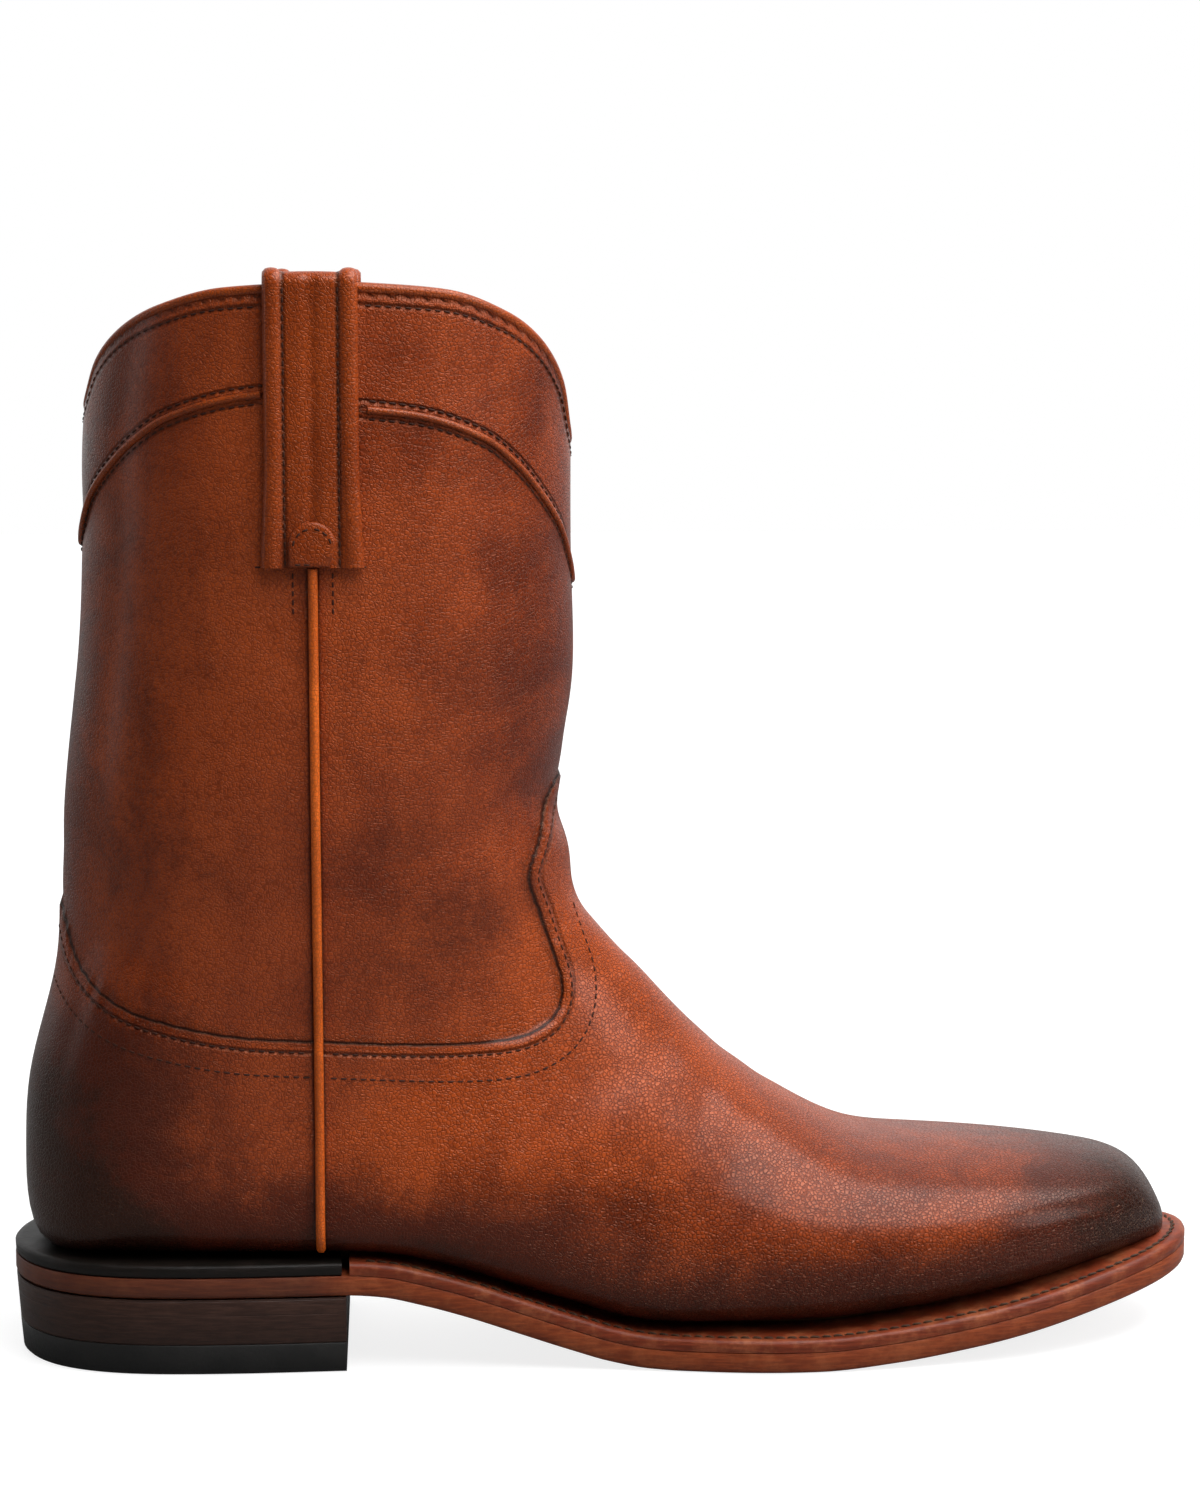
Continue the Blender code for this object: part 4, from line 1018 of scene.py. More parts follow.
def make_yoke_bead(name, middle, node, material):
    reach = yoke_reach(middle)
    angle = middle + np.linspace(-reach, reach, LINE_POINTS)
    place = place_at(angle, yoke_height)
    out = skin_normal(place, angle)
    centre = skin(place, angle) + out * YOKE_PIPING * YOKE_STAND
    return round_tube(name, centre, out, YOKE_PIPING, material, [node])


def make_side_bead(name, side, look, node, material):
    heights = np.linspace(COLLAR_HEIGHT - STRAP_DROP - GAP, float(seat(SEAM_X)) + BEAD_FOOT, LINE_POINTS)
    centre = []
    for z in heights:
        reach = abs(look(SEAM_X + SEAM_SPREAD * 2, z, side)[0][1])
        other = abs(look(SEAM_X - SEAM_SPREAD * 2, z, side)[0][1])
        centre.append((SEAM_X, side * ((reach + other) / 2 + PIPING * BEAD_STAND), z))
    out = np.tile([0.0, side, 0.0], (len(centre), 1))
    return round_tube(name, centre, out, PIPING, material, [node])


def strap_rise(share):
    """Height of the strap's face over its width: rolled edges, and a crowned middle."""
    share = np.abs(share)
    roll = np.sqrt(np.clip(1 - ((share - ROLL_MIDDLE) / ROLL_HALF) ** 2, 0.0, 1.0))
    crown = STRAP_CROWN * (1 - (share / (ROLL_MIDDLE - ROLL_HALF)) ** 2)
    return np.where(share > ROLL_MIDDLE - ROLL_HALF, roll, crown)


def make_strap(name, side, look, node, material):
    """A pull strap with rolled edges, folded over the collar, one leg down the outside and one tucked
    inside.
    """
    hub = COLLAR_HEIGHT - BINDING / 2
    foot = COLLAR_HEIGHT - STRAP_DROP
    reach_in = BINDING / 2 + GAP
    outer_rings, fold_rings, inner_rings = STRAP_FINE
    steps = [("out", z) for z in np.linspace(foot, hub, outer_rings)]
    steps += [("turn", a) for a in np.linspace(0, math.pi, fold_rings)[1:-1]]
    steps += [("in", z) for z in np.linspace(hub, hub - STRAP_TUCK, inner_rings)]
    shares = np.linspace(-0.5, 0.5, STRAP_ACROSS)
    rises = strap_rise(shares)
    points = []
    for kind, value in steps:
        z = value if kind != "turn" else hub
        lean = {"out": 0.0, "in": math.pi}.get(kind, value)
        flare = STRAP_FLARE * max(0.0, 1 - (z - foot) / STRAP_WIDTH) if kind == "out" else 0.0
        low, high = [], []
        for share, rise in zip(shares, rises):
            x = SEAM_X + share * (STRAP_WIDTH + flare)
            spot = look(x, min(z, COLLAR_HEIGHT - BINDING * 2), side)[0]
            wall = abs(spot[1]) - WALL / 2
            for ring, depth in ((low, reach_in), (high, reach_in + STRAP_THICKNESS + rise * STRAP_WELT)):
                ring.append((x, side * (wall + depth * math.cos(lean)), z + depth * math.sin(lean)))
        points += low + high[::-1]
    ring_size = 2 * STRAP_ACROSS
    faces = capped_faces(len(steps), ring_size)
    return plain_piece(name, points, faces, material, [node])


def tab_outline(shrink):
    radius = TAB_WIDTH / 2
    crown = TAB_HEIGHT - radius
    line = [(x, 0.0) for x in np.linspace(-radius, radius, TAB_FOOT_POINTS)[:-1]]
    for a in np.linspace(0, math.pi, TAB_ARCH_POINTS):
        line.append((radius * math.cos(a), crown + radius * math.sin(a)))
    return [(x * shrink, crown / 2 + (z - crown / 2) * shrink) for x, z in line]


def make_tab(name, side, look, node, material):
    """A round-topped tab, domed towards its middle."""
    foot = COLLAR_HEIGHT - STRAP_DROP
    face = max(abs(look(SEAM_X, foot + h, side)[0][1]) for h in (GAP, TAB_HEIGHT))
    points = []
    for depth, shrink in TAB_DOME:
        y = side * (face + depth * TAB_THICKNESS)
        points += [(SEAM_X + x, y, foot + GAP + z) for x, z in tab_outline(shrink)]
    count = len(tab_outline(1.0))
    faces = capped_faces(len(TAB_DOME), count)
    return plain_piece(name, points, faces, material, [node])


def flat_height(x, height):
    """The same height all along."""
    return 0 * x + height


def slab_piece(name, height, profile, material, node, cut=None):
    """A layer of the sole from inset edges; profile lists how far in and the rise given to height."""
    loops = [edge_loop(inset, lambda x: height(x, rise), cut) for inset, rise in profile]
    count = len(loops[0])
    points = np.vstack(loops)
    faces = grid_faces(len(loops), count)
    for base in (0, (len(loops) - 1) * count):
        for k in range(count // 2):
            corners = [base + k, base + k + 1, base + (count - k - 1) % count, base + (count - k) % count]
            clean = list(dict.fromkeys(corners))
            if len(clean) > 2:
                faces.append(tuple(clean))
    return plain_piece(name, points, faces, material, [node])


def edge_strip(name, around_heel, profile, material, node, count):
    """A strip round the sole's edge; profile lists how far in and at what height above its layer."""
    half = len(EDGE) // 2 if around_heel else 0
    edge, inwards = np.roll(EDGE, half, axis=0), np.roll(INWARDS, half, axis=0)
    if around_heel:
        chosen = np.flatnonzero(edge[:, 0] < HEEL_BREAST - GAP / 2)
    else:
        chosen = np.flatnonzero(edge[:, 0] > HEEL_BREAST + GAP / 2)
    picks = chosen[np.round(np.linspace(0, len(chosen) - 1, count)).astype(int)]
    points = []
    for a, n in zip(edge[picks], inwards[picks]):
        low, top = float(welt_low(a[0])), float(welt_top(a[0]))
        for inset, share in profile:
            points.append((a[0] + n[0] * inset, a[1] + n[1] * inset, low + share * (top - low)))
    faces = capped_faces(count, len(profile))
    return plain_piece(name, points, faces, material, [node])


def resample(points, outs, pitch):
    """Even stations along a line of points, with the outward direction at each."""
    points, outs = np.asarray(points), np.asarray(outs)
    steps = np.concatenate([[0], np.cumsum(np.linalg.norm(np.diff(points, axis=0), axis=1))])
    at = np.arange(pitch / 2, steps[-1], pitch)
    place = np.stack([np.interp(at, steps, points[:, k]) for k in range(3)], axis=1)
    out = np.stack([np.interp(at, steps, outs[:, k]) for k in range(3)], axis=1)
    ahead = np.stack([np.interp(at + pitch / 4, steps, points[:, k])
                      - np.interp(at - pitch / 4, steps, points[:, k]) for k in range(3)], axis=1)
    return place, out, ahead


def stitch_rows(name, rows, material, pitch=STITCH_PITCH, length=STITCH_LENGTH,
                radius=STITCH_RADIUS, slant=0.0):
    """Separate stitches along each row, half sunk in the leather."""
    points, faces = [], []
    for line, outs in rows:
        if len(line) < 3:
            continue
        for centre, out, ahead in zip(*resample(line, outs, pitch)):
            if np.linalg.norm(ahead) > pitch * 0.8 or np.linalg.norm(ahead) < pitch * 0.2:
                continue
            ahead = ahead / np.linalg.norm(ahead)
            out = out - ahead * out.dot(ahead)
            out /= np.linalg.norm(out)
            across = np.cross(ahead, out)
            ahead, across = (ahead * math.cos(slant) + across * math.sin(slant),
                             across * math.cos(slant) - ahead * math.sin(slant))
            first = len(points)
            for share, wide, sink in STITCH_SHAPE:
                middle = centre + ahead * share * length - out * sink * radius
                for k in range(STITCH_SIDES):
                    a = 2 * math.pi * k / STITCH_SIDES
                    points.append(middle + wide * radius * (math.cos(a) * out + math.sin(a) * across))
            for ring in range(len(STITCH_SHAPE) - 1):
                for k in range(STITCH_SIDES):
                    a, b = first + ring * STITCH_SIDES, first + (ring + 1) * STITCH_SIDES
                    after = (k + 1) % STITCH_SIDES
                    faces.append((a + k, a + after, b + after, b + k))
            faces.append(tuple(first + k for k in range(STITCH_SIDES)))
            last = first + (len(STITCH_SHAPE) - 1) * STITCH_SIDES
            faces.append(tuple(last + k for k in range(STITCH_SIDES)))
    return plain_piece(name, points, faces, material)


def side_row(look, line, side, clear=0.0):
    """A row of the side view laid on a piece; returns its unbroken stretches."""
    stretches, points, outs = [], [], []
    for x, z in line:
        spot, out = look(float(x), float(z), side)
        good = spot is not None and side * out[1] > GRAZING and abs(x - SEAM_X) > clear
        broken = good and points and np.linalg.norm(spot - points[-1]) > BREAK
        if good and not broken:
            points.append(spot)
            outs.append(out)
        elif points:
            stretches.append((points, outs))
            points, outs = [], []
    stretches.append((points, outs))
    return [s for s in stretches if len(s[0]) > 3]


def offset_line(curve, distance):
    """The side-view line moved into the overlay, without the parts that would cross it."""
    ahead = np.gradient(curve, axis=0)
    ahead /= np.linalg.norm(ahead, axis=1)[:, None]
    moved = curve + distance * np.column_stack([ahead[:, 1], -ahead[:, 0]])
    keep = distance_to(curve, moved) > distance - CURVE_SLACK
    return moved[keep]


def level_rows(height, drop, clear, middle=0.0, reach=math.pi):
    """Rows that follow a line round the shaft at some drop below it, without the straps' width."""
    rows = []
    angle = middle + np.linspace(-reach, reach, 2 * LINE_POINTS)
    place = place_at(angle, lambda t: height(t) - drop)
    points, outs = skin(place, angle), skin_normal(place, angle)
    line, out = [], []
    for p, n in zip(points, outs):
        if abs(p[0] - SEAM_X) > clear:
            line.append(p)
            out.append(n)
        elif line:
            rows.append((line, out))
            line, out = [], []
    rows.append((line, out))
    return rows


def make_stitches(look, strap_looks, thread, dark_thread):
    curve = overlay_curve()
    low_half = curve[curve[:, 1] < float(seat(0.0)) + ROW_TWO_TOP * ANKLE_RISE]
    rows = []
    for side in (-1, 1):
        rows += side_row(look, offset_line(curve, ROW_ONE), side, PIPING)
        rows += side_row(look, offset_line(low_half, ROW_TWO), side, PIPING)
    stitch_rows("overlay_stitches", rows, thread)
    rows = level_rows(rim_height, COLLAR_ROW, STRAP_WIDTH / 2 + GAP)
    for middle in (0.0, math.pi):
        reach = yoke_reach(middle)
        for drop in (-YOKE_ROW, YOKE_ROW):
            rows += level_rows(yoke_height, drop, 0.0, middle, reach)
    stitch_rows("shaft_stitches", rows, thread)
    rows = []
    foot = COLLAR_HEIGHT - STRAP_DROP
    strap_points, tail_points, tack_points = ROW_POINTS
    for side, strap_look, tab_look in strap_looks:
        for x in (SEAM_X - STRAP_ROW, SEAM_X + STRAP_ROW):
            line = [(x, z) for z in np.linspace(foot + GAP, COLLAR_HEIGHT - BINDING, strap_points)]
            rows += side_row(strap_look, line, side)
        for x in (SEAM_X - TAIL_ROW, SEAM_X + TAIL_ROW):
            line = [(x, z) for z in np.linspace(foot - TAIL_LENGTH, foot - GAP, tail_points)]
            rows += side_row(look, line, side)
        line = [(SEAM_X + x, foot + GAP + z) for x, z in tab_outline(TAB_ROW)]
        rows += side_row(tab_look, line, side)
        for x in (SEAM_X - STRAP_WIDTH / 2 - TACK_OUT, SEAM_X + STRAP_WIDTH / 2 + TACK_OUT):
            line = [(x + d, foot) for d in np.linspace(-TACK_HALF, TACK_HALF, tack_points)]
            rows += side_row(look, line, side)
    stitch_rows("strap_stitches", rows, thread, STRAP_PITCH, STRAP_STITCH)
    chosen = np.flatnonzero(EDGE[:, 0] > HEEL_BREAST + WELT_START)
    line, outs = [], []
    for a, n in zip(EDGE[chosen], INWARDS[chosen]):
        line.append((a[0] + n[0] * WELT_ROW, a[1] + n[1] * WELT_ROW, float(welt_top(a[0]))))
        outs.append((0.0, 0.0, 1.0))
    stitch_rows("welt_stitches", [(line, outs)], dark_thread, WELT_PITCH, WELT_STITCH,
                WELT_THREAD, WELT_SLANT)


def plug(tree, value, socket):
    """Sets a socket, or links it where the value is another node's output."""
    if isinstance(value, bpy.types.NodeSocket):
        tree.links.new(value, socket)
    elif isinstance(value, tuple):
        socket.default_value = (*value, 1.0) if len(value) == 3 and socket.type == "RGBA" else value
    else:
        socket.default_value = value


def calc(tree, operation, first, second=0.0, clamp=False):
    made = tree.nodes.new("ShaderNodeMath")
    made.operation = operation
    made.use_clamp = clamp
    plug(tree, first, made.inputs[0])
    plug(tree, second, made.inputs[1])
    return made.outputs[0]


def blend_colour(tree, share, first, second):
    made = tree.nodes.new("ShaderNodeMix")
    made.data_type = "RGBA"
    plug(tree, share, made.inputs[0])
    plug(tree, first, made.inputs[6])
    plug(tree, second, made.inputs[7])
    return made.outputs[2]


def span(tree, value, low, high, out_low=0.0, out_high=1.0):
    made = tree.nodes.new("ShaderNodeMapRange")
    made.interpolation_type = "SMOOTHSTEP"
    for socket, number in zip(made.inputs[:5], (value, low, high, out_low, out_high)):
        plug(tree, number, socket)
    return made.outputs[0]


def spots(tree):
    return tree.nodes.new("ShaderNodeTexCoord").outputs["Object"]


def noise(tree, vector, scale, detail=3.0, rough=0.55, warp=0.0):
    made = tree.nodes.new("ShaderNodeTexNoise")
    plug(tree, vector, made.inputs["Vector"])
    plug(tree, scale, made.inputs["Scale"])
    made.inputs["Detail"].default_value = detail
    made.inputs["Roughness"].default_value = rough
    made.inputs["Distortion"].default_value = warp
    return made.outputs["Fac"]


def stretched(tree, vector, sizes):
    made = tree.nodes.new("ShaderNodeMapping")
    plug(tree, vector, made.inputs["Vector"])
    made.inputs["Scale"].default_value = sizes
    return made.outputs["Vector"]


def field(tree, name):
    made = tree.nodes.new("ShaderNodeAttribute")
    made.attribute_type = "GEOMETRY"
    made.attribute_name = name
    return made.outputs["Fac"]


def line_at(tree, gap, at, width):
    """1 on a line at some distance along a gap field, falling to 0 beside it."""
    off = calc(tree, "ABSOLUTE", calc(tree, "SUBTRACT", gap, at))
    return span(tree, off, 0.0, width, 1.0, 0.0)


def new_group(name, wants, gives):
    tree = bpy.data.node_groups.new(name, "ShaderNodeTree")
    for label, kind, value in wants:
        socket = tree.interface.new_socket(label, in_out="INPUT", socket_type=kind)
        if value is not None:
            socket.default_value = value
    for label in gives:
        tree.interface.new_socket(label, in_out="OUTPUT", socket_type="NodeSocketFloat")
    return tree, tree.nodes.new("NodeGroupInput"), tree.nodes.new("NodeGroupOutput")


def grain_group():
    """Pebbled leather grain: plump pebbles with thin creases between them, and fine pores."""
    tree, given, result = new_group("leather_grain", [
        ("Vector", "NodeSocketVector", None), ("Pebbles", "NodeSocketFloat", 900.0)],
        ["Height", "Crease"])
    bend = noise(tree, given.outputs["Vector"], 320.0, 2.0)
    spread = tree.nodes.new("ShaderNodeVectorMath")
    spread.operation = "ADD"
    plug(tree, given.outputs["Vector"], spread.inputs[0])
    plug(tree, calc(tree, "MULTIPLY", bend, 0.0011), spread.inputs[1])
    cells = tree.nodes.new("ShaderNodeTexVoronoi")
    cells.feature = "DISTANCE_TO_EDGE"
    plug(tree, spread.outputs[0], cells.inputs["Vector"])
    plug(tree, given.outputs["Pebbles"], cells.inputs["Scale"])
    pebble = span(tree, cells.outputs["Distance"], 0.0, 0.20)
    fine = noise(tree, given.outputs["Vector"], 2600.0, 2.0)
    body = noise(tree, given.outputs["Vector"], 300.0, 3.0)
    height = calc(tree, "ADD", calc(tree, "MULTIPLY", pebble, 0.75), calc(tree, "MULTIPLY", body, 0.30))
    plug(tree, calc(tree, "ADD", height, calc(tree, "MULTIPLY", fine, 0.04)), result.inputs["Height"])
    plug(tree, calc(tree, "SUBTRACT", 1.0, pebble), result.inputs["Crease"])
    return tree


def stain_group():
    """Uneven hand-rubbed stain: soft clouds, streaks and small flecks."""
    tree, given, result = new_group("rubbed_stain", [
        ("Vector", "NodeSocketVector", None)], ["Cloud", "Fleck", "Streak"])
    vector = given.outputs["Vector"]
    plug(tree, span(tree, noise(tree, vector, 30.0, 6.0, 0.62, 0.5), 0.30, 0.72), result.inputs["Cloud"])
    plug(tree, noise(tree, vector, 620.0, 4.0, 0.62), result.inputs["Fleck"])
    long_way = stretched(tree, vector, (1.0, 1.0, 0.28))
    plug(tree, span(tree, noise(tree, long_way, 90.0, 4.0, 0.6), 0.36, 0.66), result.inputs["Streak"])
    return tree


def fibre_group():
    """Cut and waxed leather edge: fine level fibres with worn patches."""
    tree, given, result = new_group("edge_fibre", [
        ("Vector", "NodeSocketVector", None)], ["Fibre", "Wear"])
    vector = given.outputs["Vector"]
    level = stretched(tree, vector, (0.10, 0.10, 1.0))
    plug(tree, noise(tree, level, 1500.0, 4.0, 0.6), result.inputs["Fibre"])
    plug(tree, span(tree, noise(tree, vector, 120.0, 5.0, 0.7), 0.42, 0.72), result.inputs["Wear"])
    return tree


def use_group(tree, group, vector, **values):
    made = tree.nodes.new("ShaderNodeGroup")
    made.node_tree = group
    plug(tree, vector, made.inputs["Vector"])
    for label, value in values.items():
        made.inputs[label].default_value = value
    return made.outputs


def new_material(name):
    made = bpy.data.materials.new(name)
    made.use_nodes = True
    tree = made.node_tree
    return made, tree, tree.nodes["Principled BSDF"]


def bumped(tree, shader, height, distance):
    made = tree.nodes.new("ShaderNodeBump")
    made.inputs["Strength"].default_value = 1.0
    made.inputs["Distance"].default_value = distance
    plug(tree, height, made.inputs["Height"])
    plug(tree, made.outputs["Normal"], shader.inputs["Normal"])


def along_axis(tree, vector, axis=0):
    """One coordinate of a vector: x unless another axis is asked for."""
    made = tree.nodes.new("ShaderNodeSeparateXYZ")
    plug(tree, vector, made.inputs[0])
    return made.outputs[axis]


def mixed_towards(tree, colour, mask, share, stain):
    """The colour, mixed towards another by some share of a mask: real marks, and painted shade."""
    return blend_colour(tree, calc(tree, "MULTIPLY", mask, share), colour, stain)


def sunk(tree, height, mask, depth):
    """The height, lowered where the mask is."""
    return calc(tree, "SUBTRACT", height, calc(tree, "MULTIPLY", mask, depth))


def raised(tree, value, mask, share):
    return calc(tree, "ADD", calc(tree, "MULTIPLY", mask, share), value)


def leather_material(name, grain, stain, colours, rough, depth, fields=False, grooves=0.0):
    """Burnished calf leather; with fields, its stain and its painted shade follow the upper's own masks.

    grooves is how far from the middle of a strap its two sewn grooves run, darkened with painted shade.
    """
    bright, middle, dark, black = colours
    made, tree, shader = new_material(name)
    vector = spots(tree)
    skin_grain = use_group(tree, grain, vector, Pebbles=PEBBLES)
    rubbed = use_group(tree, stain, vector)
    tone = calc(tree, "MULTIPLY", rubbed["Cloud"], CLOUD_SHARE)
    tone = calc(tree, "ADD", tone, calc(tree, "MULTIPLY", rubbed["Streak"], 1 - CLOUD_SHARE))
    burnt = 0.0
    if fields:
        tone = calc(tree, "ADD", calc(tree, "MULTIPLY", tone, TONE_SHARE), field(tree, "glow"), True)
        burnt = field(tree, "burnish")
    colour = blend_colour(tree, tone, middle, bright)
    fleck = span(tree, rubbed["Fleck"], *FLECK_SPAN, 0.0, FLECK_STAIN)
    colour = blend_colour(tree, fleck, colour, dark)
    # Painted shade in the grain's creases.
    colour = mixed_towards(tree, colour, skin_grain["Crease"], CREASE_SHADE, dark)
    height = skin_grain["Height"]
    if fields:
        patchy = calc(tree, "MULTIPLY", calc(tree, "SUBTRACT", 0.5, rubbed["Cloud"]), BURN_WOBBLE)
        wobble = calc(tree, "MULTIPLY", calc(tree, "SUBTRACT", rubbed["Fleck"], 0.5), BURN_WOBBLE)
        burnt = calc(tree, "ADD", burnt, calc(tree, "ADD", patchy, wobble), True)
        colour = blend_colour(tree, span(tree, burnt, 0.0, BURN_MIDDLE), colour, dark)
        colour = blend_colour(tree, span(tree, burnt, BURN_MIDDLE, 1.0), colour, black)
        overlay_gap = field(tree, "overlay_gap")
        # The cut edge of vamp and counter in black: its own dark edge, and painted shade at the foot of the
        # step.
        cut = line_at(tree, overlay_gap, -0.0002, 0.0006)
        # Painted shade on the leather beside the raised edge of vamp and counter.
        shade = line_at(tree, overlay_gap, -0.0008, 0.0026)
        # Painted shade in the channels of the stitch rows, and in a line under the collar's binding.
        rows = line_at(tree, overlay_gap, ROW_ONE, 0.0009)
        rows = calc(tree, "MAXIMUM", rows, line_at(tree, field(tree, "rim_gap"), COLLAR_ROW, 0.0010))
        rows = calc(tree, "MAXIMUM", rows, line_at(tree, field(tree, "rim_gap"), 0.0009, 0.0009))
        yoke_gap = field(tree, "yoke_gap")
        rows = calc(tree, "MAXIMUM", rows, line_at(tree, yoke_gap, YOKE_ROW, 0.0008))
        # Painted shade at the foot of the yoke piping, on both sides of it.
        root = calc(tree, "MULTIPLY", line_at(tree, yoke_gap, 0.0009, 0.0007), ROOT_SHADE)
        # Painted shade laid on beside the overlay edges, then along the stitch rows.
        colour = mixed_towards(tree, colour, shade, OVERLAY_SHADE, black)
        colour = mixed_towards(tree, colour, rows, ROW_SHADE, black)
        # Black along that cut edge and its foot, with the painted shade at the foot of the yoke piping.
        colour = blend_colour(tree, calc(tree, "MAXIMUM", cut, root), colour, black)
        forward = span(tree, along_axis(tree, vector), *PEBBLED, SHAFT_GRAIN, 1.0)
        on_vamp = span(tree, overlay_gap, -0.001, 0.001, SHAFT_GRAIN, forward)
        height = sunk(tree, calc(tree, "MULTIPLY", height, on_vamp), rows, ROW_SINK)
        height = sunk(tree, height, cut, CUT_SINK)
        # Painted shade in the dip on both sides of the side piping.
        seam = calc(tree, "ABSOLUTE", calc(tree, "SUBTRACT", along_axis(tree, vector), SEAM_X))
        seam = span(tree, seam, PIPING * 0.45, PIPING * 0.95, 1.0, 0.0)
        colour = mixed_towards(tree, colour, seam, SEAM_SHADE, black)
    if grooves:
        off = calc(tree, "ABSOLUTE", calc(tree, "SUBTRACT", along_axis(tree, vector), SEAM_X))
        # Painted shade in the strap's two sewn grooves.
        groove = line_at(tree, off, grooves, 0.0010)
        colour = mixed_towards(tree, colour, groove, GROOVE_SHADE, black)
        height = sunk(tree, height, groove, GROOVE_SINK)
    plug(tree, colour, shader.inputs["Base Color"])
    dull = calc(tree, "MULTIPLY", rubbed["Cloud"], DULL_SHARE)
    dull = calc(tree, "ADD", dull, calc(tree, "MULTIPLY", skin_grain["Crease"], DULL_SHARE))
    plug(tree, calc(tree, "ADD", dull, rough), shader.inputs["Roughness"])
    shader.inputs["Specular IOR Level"].default_value = WAX_SPECULAR
    shader.inputs["Specular Tint"].default_value = WAX_TINT
    shader.inputs["Coat Weight"].default_value = WAX_COAT
    shader.inputs["Coat Roughness"].default_value = WAX_COAT_ROUGH
    bumped(tree, shader, height, depth)
    return made


def edge_material(name, fibre, colours, rough, worn=0.35, lifts=0.0, heel_stain=0.0):
    """Waxed leather edge; lifts gives the thickness of the layers of a stacked heel."""
    plain, light, dark = colours
    made, tree, shader = new_material(name)
    vector = spots(tree)
    cut = use_group(tree, fibre, vector)
    colour = blend_colour(tree, span(tree, cut["Fibre"], 0.35, 0.68), dark, plain)
    colour = mixed_towards(tree, colour, cut["Wear"], worn, light)
    if heel_stain:
        heel = span(tree, along_axis(tree, vector), *HEEL_FADE, heel_stain, 0.0)
        colour = blend_colour(tree, heel, colour, STACK_BROWN[0])
    height = cut["Fibre"]
    if lifts:
        above_cap = calc(tree, "SUBTRACT", along_axis(tree, vector, 2), TOP_LIFT)
        risen = calc(tree, "DIVIDE", above_cap, lifts)
        off = calc(tree, "SUBTRACT", calc(tree, "FRACT", risen), 0.5)
        joint = span(tree, calc(tree, "ABSOLUTE", off), 0.44, 0.5)
        colour = mixed_towards(tree, colour, joint, JOINT_STAIN, dark)
        height = sunk(tree, height, joint, JOINT_SINK)
    plug(tree, colour, shader.inputs["Base Color"])
    plug(tree, raised(tree, rough, cut["Fibre"], 0.2), shader.inputs["Roughness"])
    shader.inputs["Specular IOR Level"].default_value = QUIET_SPECULAR
    bumped(tree, shader, height, FIBRE_BUMP)
    return made


def plain_material(name, colour, second, rough, depth, size=700.0):
    """A quiet surface with fine tooth: thread, rubber, lining or board."""
    made, tree, shader = new_material(name)
    vector = spots(tree)
    tooth = noise(tree, vector, size, 4.0, 0.6)
    patch = span(tree, noise(tree, vector, 60.0, 4.0), 0.35, 0.7)
    share = calc(tree, "ADD", calc(tree, "MULTIPLY", patch, 0.6), calc(tree, "MULTIPLY", tooth, 0.4))
    plug(tree, blend_colour(tree, share, colour, second), shader.inputs["Base Color"])
    plug(tree, raised(tree, rough, tooth, 0.15), shader.inputs["Roughness"])
    shader.inputs["Specular IOR Level"].default_value = QUIET_SPECULAR
    bumped(tree, shader, tooth, depth)
    return made


def aim(made, at):
    made.rotation_euler = (Vector(at) - made.location).to_track_quat("-Z", "Y").to_euler()


def soft_light(name, at, target, size, power):
    lamp = bpy.data.lights.new(name, "AREA")
    lamp.shape = "RECTANGLE"
    lamp.size, lamp.size_y = size
    lamp.energy = power
    made = bpy.data.objects.new(name, lamp)
    bpy.context.scene.collection.objects.link(made)
    made.location = at
    aim(made, target)


def make_camera(scene):
    camera = bpy.data.cameras.new("camera")
    camera.lens = CAMERA_LENS
    camera.sensor_width = CAMERA_SENSOR
    camera.clip_start = 0.01
    made = bpy.data.objects.new("camera", camera)
    scene.collection.objects.link(made)
    made.location = CAMERA_AT
    made.rotation_euler = (math.radians(90 - CAMERA_DIP), 0.0, math.radians(-CAMERA_TURN))
    scene.camera = made


def make_world(scene):
    """White to the camera, dim in front of the boot and white behind it to everything else."""
    world = bpy.data.worlds.new("studio")
    scene.world = world
    world.use_nodes = True
    tree = world.node_tree
    back = tree.nodes["Background"]
    back.inputs["Color"].default_value = (1.0, 1.0, 1.0, 1.0)
    towards = tree.nodes.new("ShaderNodeTexCoord").outputs["Generated"]
    around = span(tree, along_axis(tree, towards, 1), *WORLD_EDGE, WORLD_FRONT, WORLD_BACK)
    seen = tree.nodes.new("ShaderNodeLightPath").outputs["Is Camera Ray"]
    plug(tree, calc(tree, "MAXIMUM", around, seen), back.inputs["Strength"])


def make_floor(scene):
    """A grey floor that the camera sees as nearly white, and as white where it ends."""
    mesh = bpy.data.meshes.new("floor")
    corners = [(x * FLOOR_HALF, y * FLOOR_HALF, 0) for x, y in ((-1, -1), (1, -1), (1, 1), (-1, 1))]
    mesh.from_pydata(corners, [], [(0, 1, 2, 3)])
    floor = bpy.data.objects.new("floor", mesh)
    scene.collection.objects.link(floor)
    white, tree, shader = new_material("pale_floor")
    shader.inputs["Base Color"].default_value = (FLOOR_GREY, FLOOR_GREY, FLOOR_GREY, 1.0)
    shader.inputs["Roughness"].default_value = 0.65
    shader.inputs["Emission Color"].default_value = (1.0, 1.0, 1.0, 1.0)
    away = tree.nodes.new("ShaderNodeVectorMath")
    away.operation = "DISTANCE"
    plug(tree, spots(tree), away.inputs[0])
    away.inputs[1].default_value = FLOOR_MIDDLE
    seen = tree.nodes.new("ShaderNodeLightPath").outputs["Is Camera Ray"]
    fade = span(tree, away.outputs["Value"], *FLOOR_FADE, FLOOR_GLOW, 1.0)
    plug(tree, calc(tree, "MULTIPLY", seen, fade), shader.inputs["Emission Strength"])
    mesh.materials.append(white)
    floor.location.z = -FLOOR_DROP


def make_studio():
    scene = bpy.context.scene
    make_camera(scene)
    make_world(scene)
    make_floor(scene)
    for light in LIGHTS:
        soft_light(*light)
    scene.view_settings.view_transform = "Standard"


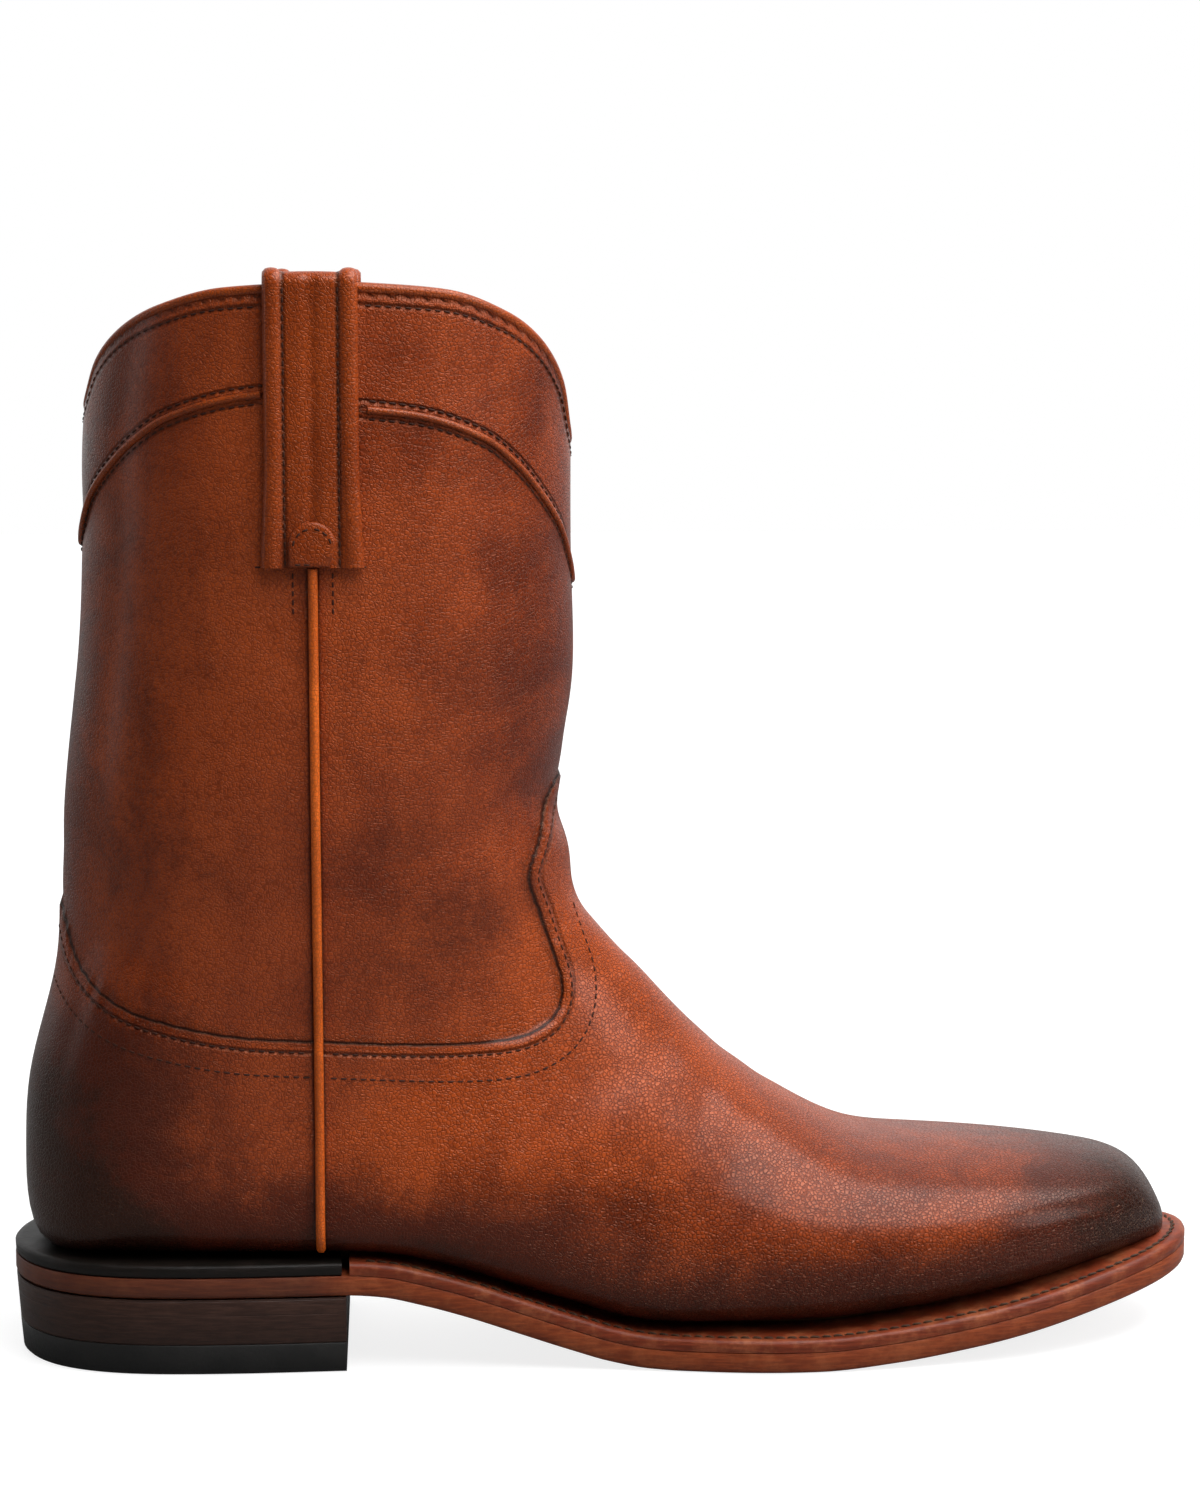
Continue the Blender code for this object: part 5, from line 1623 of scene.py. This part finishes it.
def main():
    grain, stain, fibre = grain_group(), stain_group(), fibre_group()
    upper = leather_material("burnished_leather", grain, stain, TAN, 0.31, 0.00040, fields=True)
    trim = leather_material("trim_leather", grain, stain, TRIM, 0.30, 0.00013)
    bright = leather_material("piping_leather", grain, stain, BRIGHT, 0.34, 0.00010)
    strap_leather = leather_material("strap_leather", grain, stain, STRAP_TAN, 0.28, 0.00013,
                                     grooves=STRAP_ROW)
    tab_leather = leather_material("tab_leather", grain, stain, STRAP_TAN, 0.28, 0.00013)
    lining = plain_material("pigskin_lining", *LINING_TAN, 0.62, 0.00012)
    board = plain_material("insole_board", *BOARD_TAN, 0.66, 0.00012)
    thread = plain_material("waxed_thread", *THREAD_BROWN, 0.7, 0.00008, 3000.0)
    dark_thread = plain_material("welt_thread", *WELT_THREAD_BROWN, 0.6, 0.0001, 3000.0)
    sole = edge_material("sole_edge_leather", fibre, SOLE_BROWN, 0.36, heel_stain=0.6)
    welt = edge_material("welt_leather", fibre, WELT_BROWN, 0.36, 0.5)
    rand = edge_material("rand_leather", fibre, RAND_BLACK, 0.38, 0.12)
    stack = edge_material("stacked_leather", fibre, STACK_BROWN, 0.36, 0.25, lifts=HEEL_STACK / 3)
    rubber = plain_material("heel_rubber", *RUBBER_BLACK, 0.42, 0.00010, 1200.0)

    shell = make_shell(upper, lining)
    look = side_finder(shell)
    make_collar_roll(trim)
    make_yoke_bead("front_yoke_bead", 0.0, "yoke_piping_front", trim)
    make_yoke_bead("back_yoke_bead", math.pi, "yoke_piping_back", trim)
    strap_looks = []
    for label, side in (("outer", -1), ("inner", 1)):
        make_side_bead(f"{label}_side_bead", side, look, f"side_piping_{label}", bright)
        strap = make_strap(f"{label}_strap", side, look, f"pull_strap_{label}", strap_leather)
        strap_look = side_finder(strap)
        tab = make_tab(f"{label}_tab", side, strap_look, f"strap_tab_{label}", tab_leather)
        strap_looks.append((side, strap_look, side_finder(tab)))
    make_stitches(look, strap_looks, thread, dark_thread)

    slab_piece("rubber_heel_cap", flat_height, CAP_PROFILE, rubber, "heel_cap", HEEL_BREAST)
    slab_piece("stacked_heel", flat_height, STACK_PROFILE, stack, "heel_stack",
               HEEL_BREAST)
    slab_piece("leather_outsole", layer, OUTSOLE_PROFILE, sole, "outsole")
    edge_strip("stitched_welt", False, WELT_PROFILE, welt, "welt", WELT_STATIONS)
    edge_strip("dark_heel_rand", True, RAND_PROFILE, rand, "heel_rand", RAND_STATIONS)
    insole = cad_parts["insole"]
    insole.data.materials.clear()
    insole.data.materials.append(board)
    make_studio()


main()
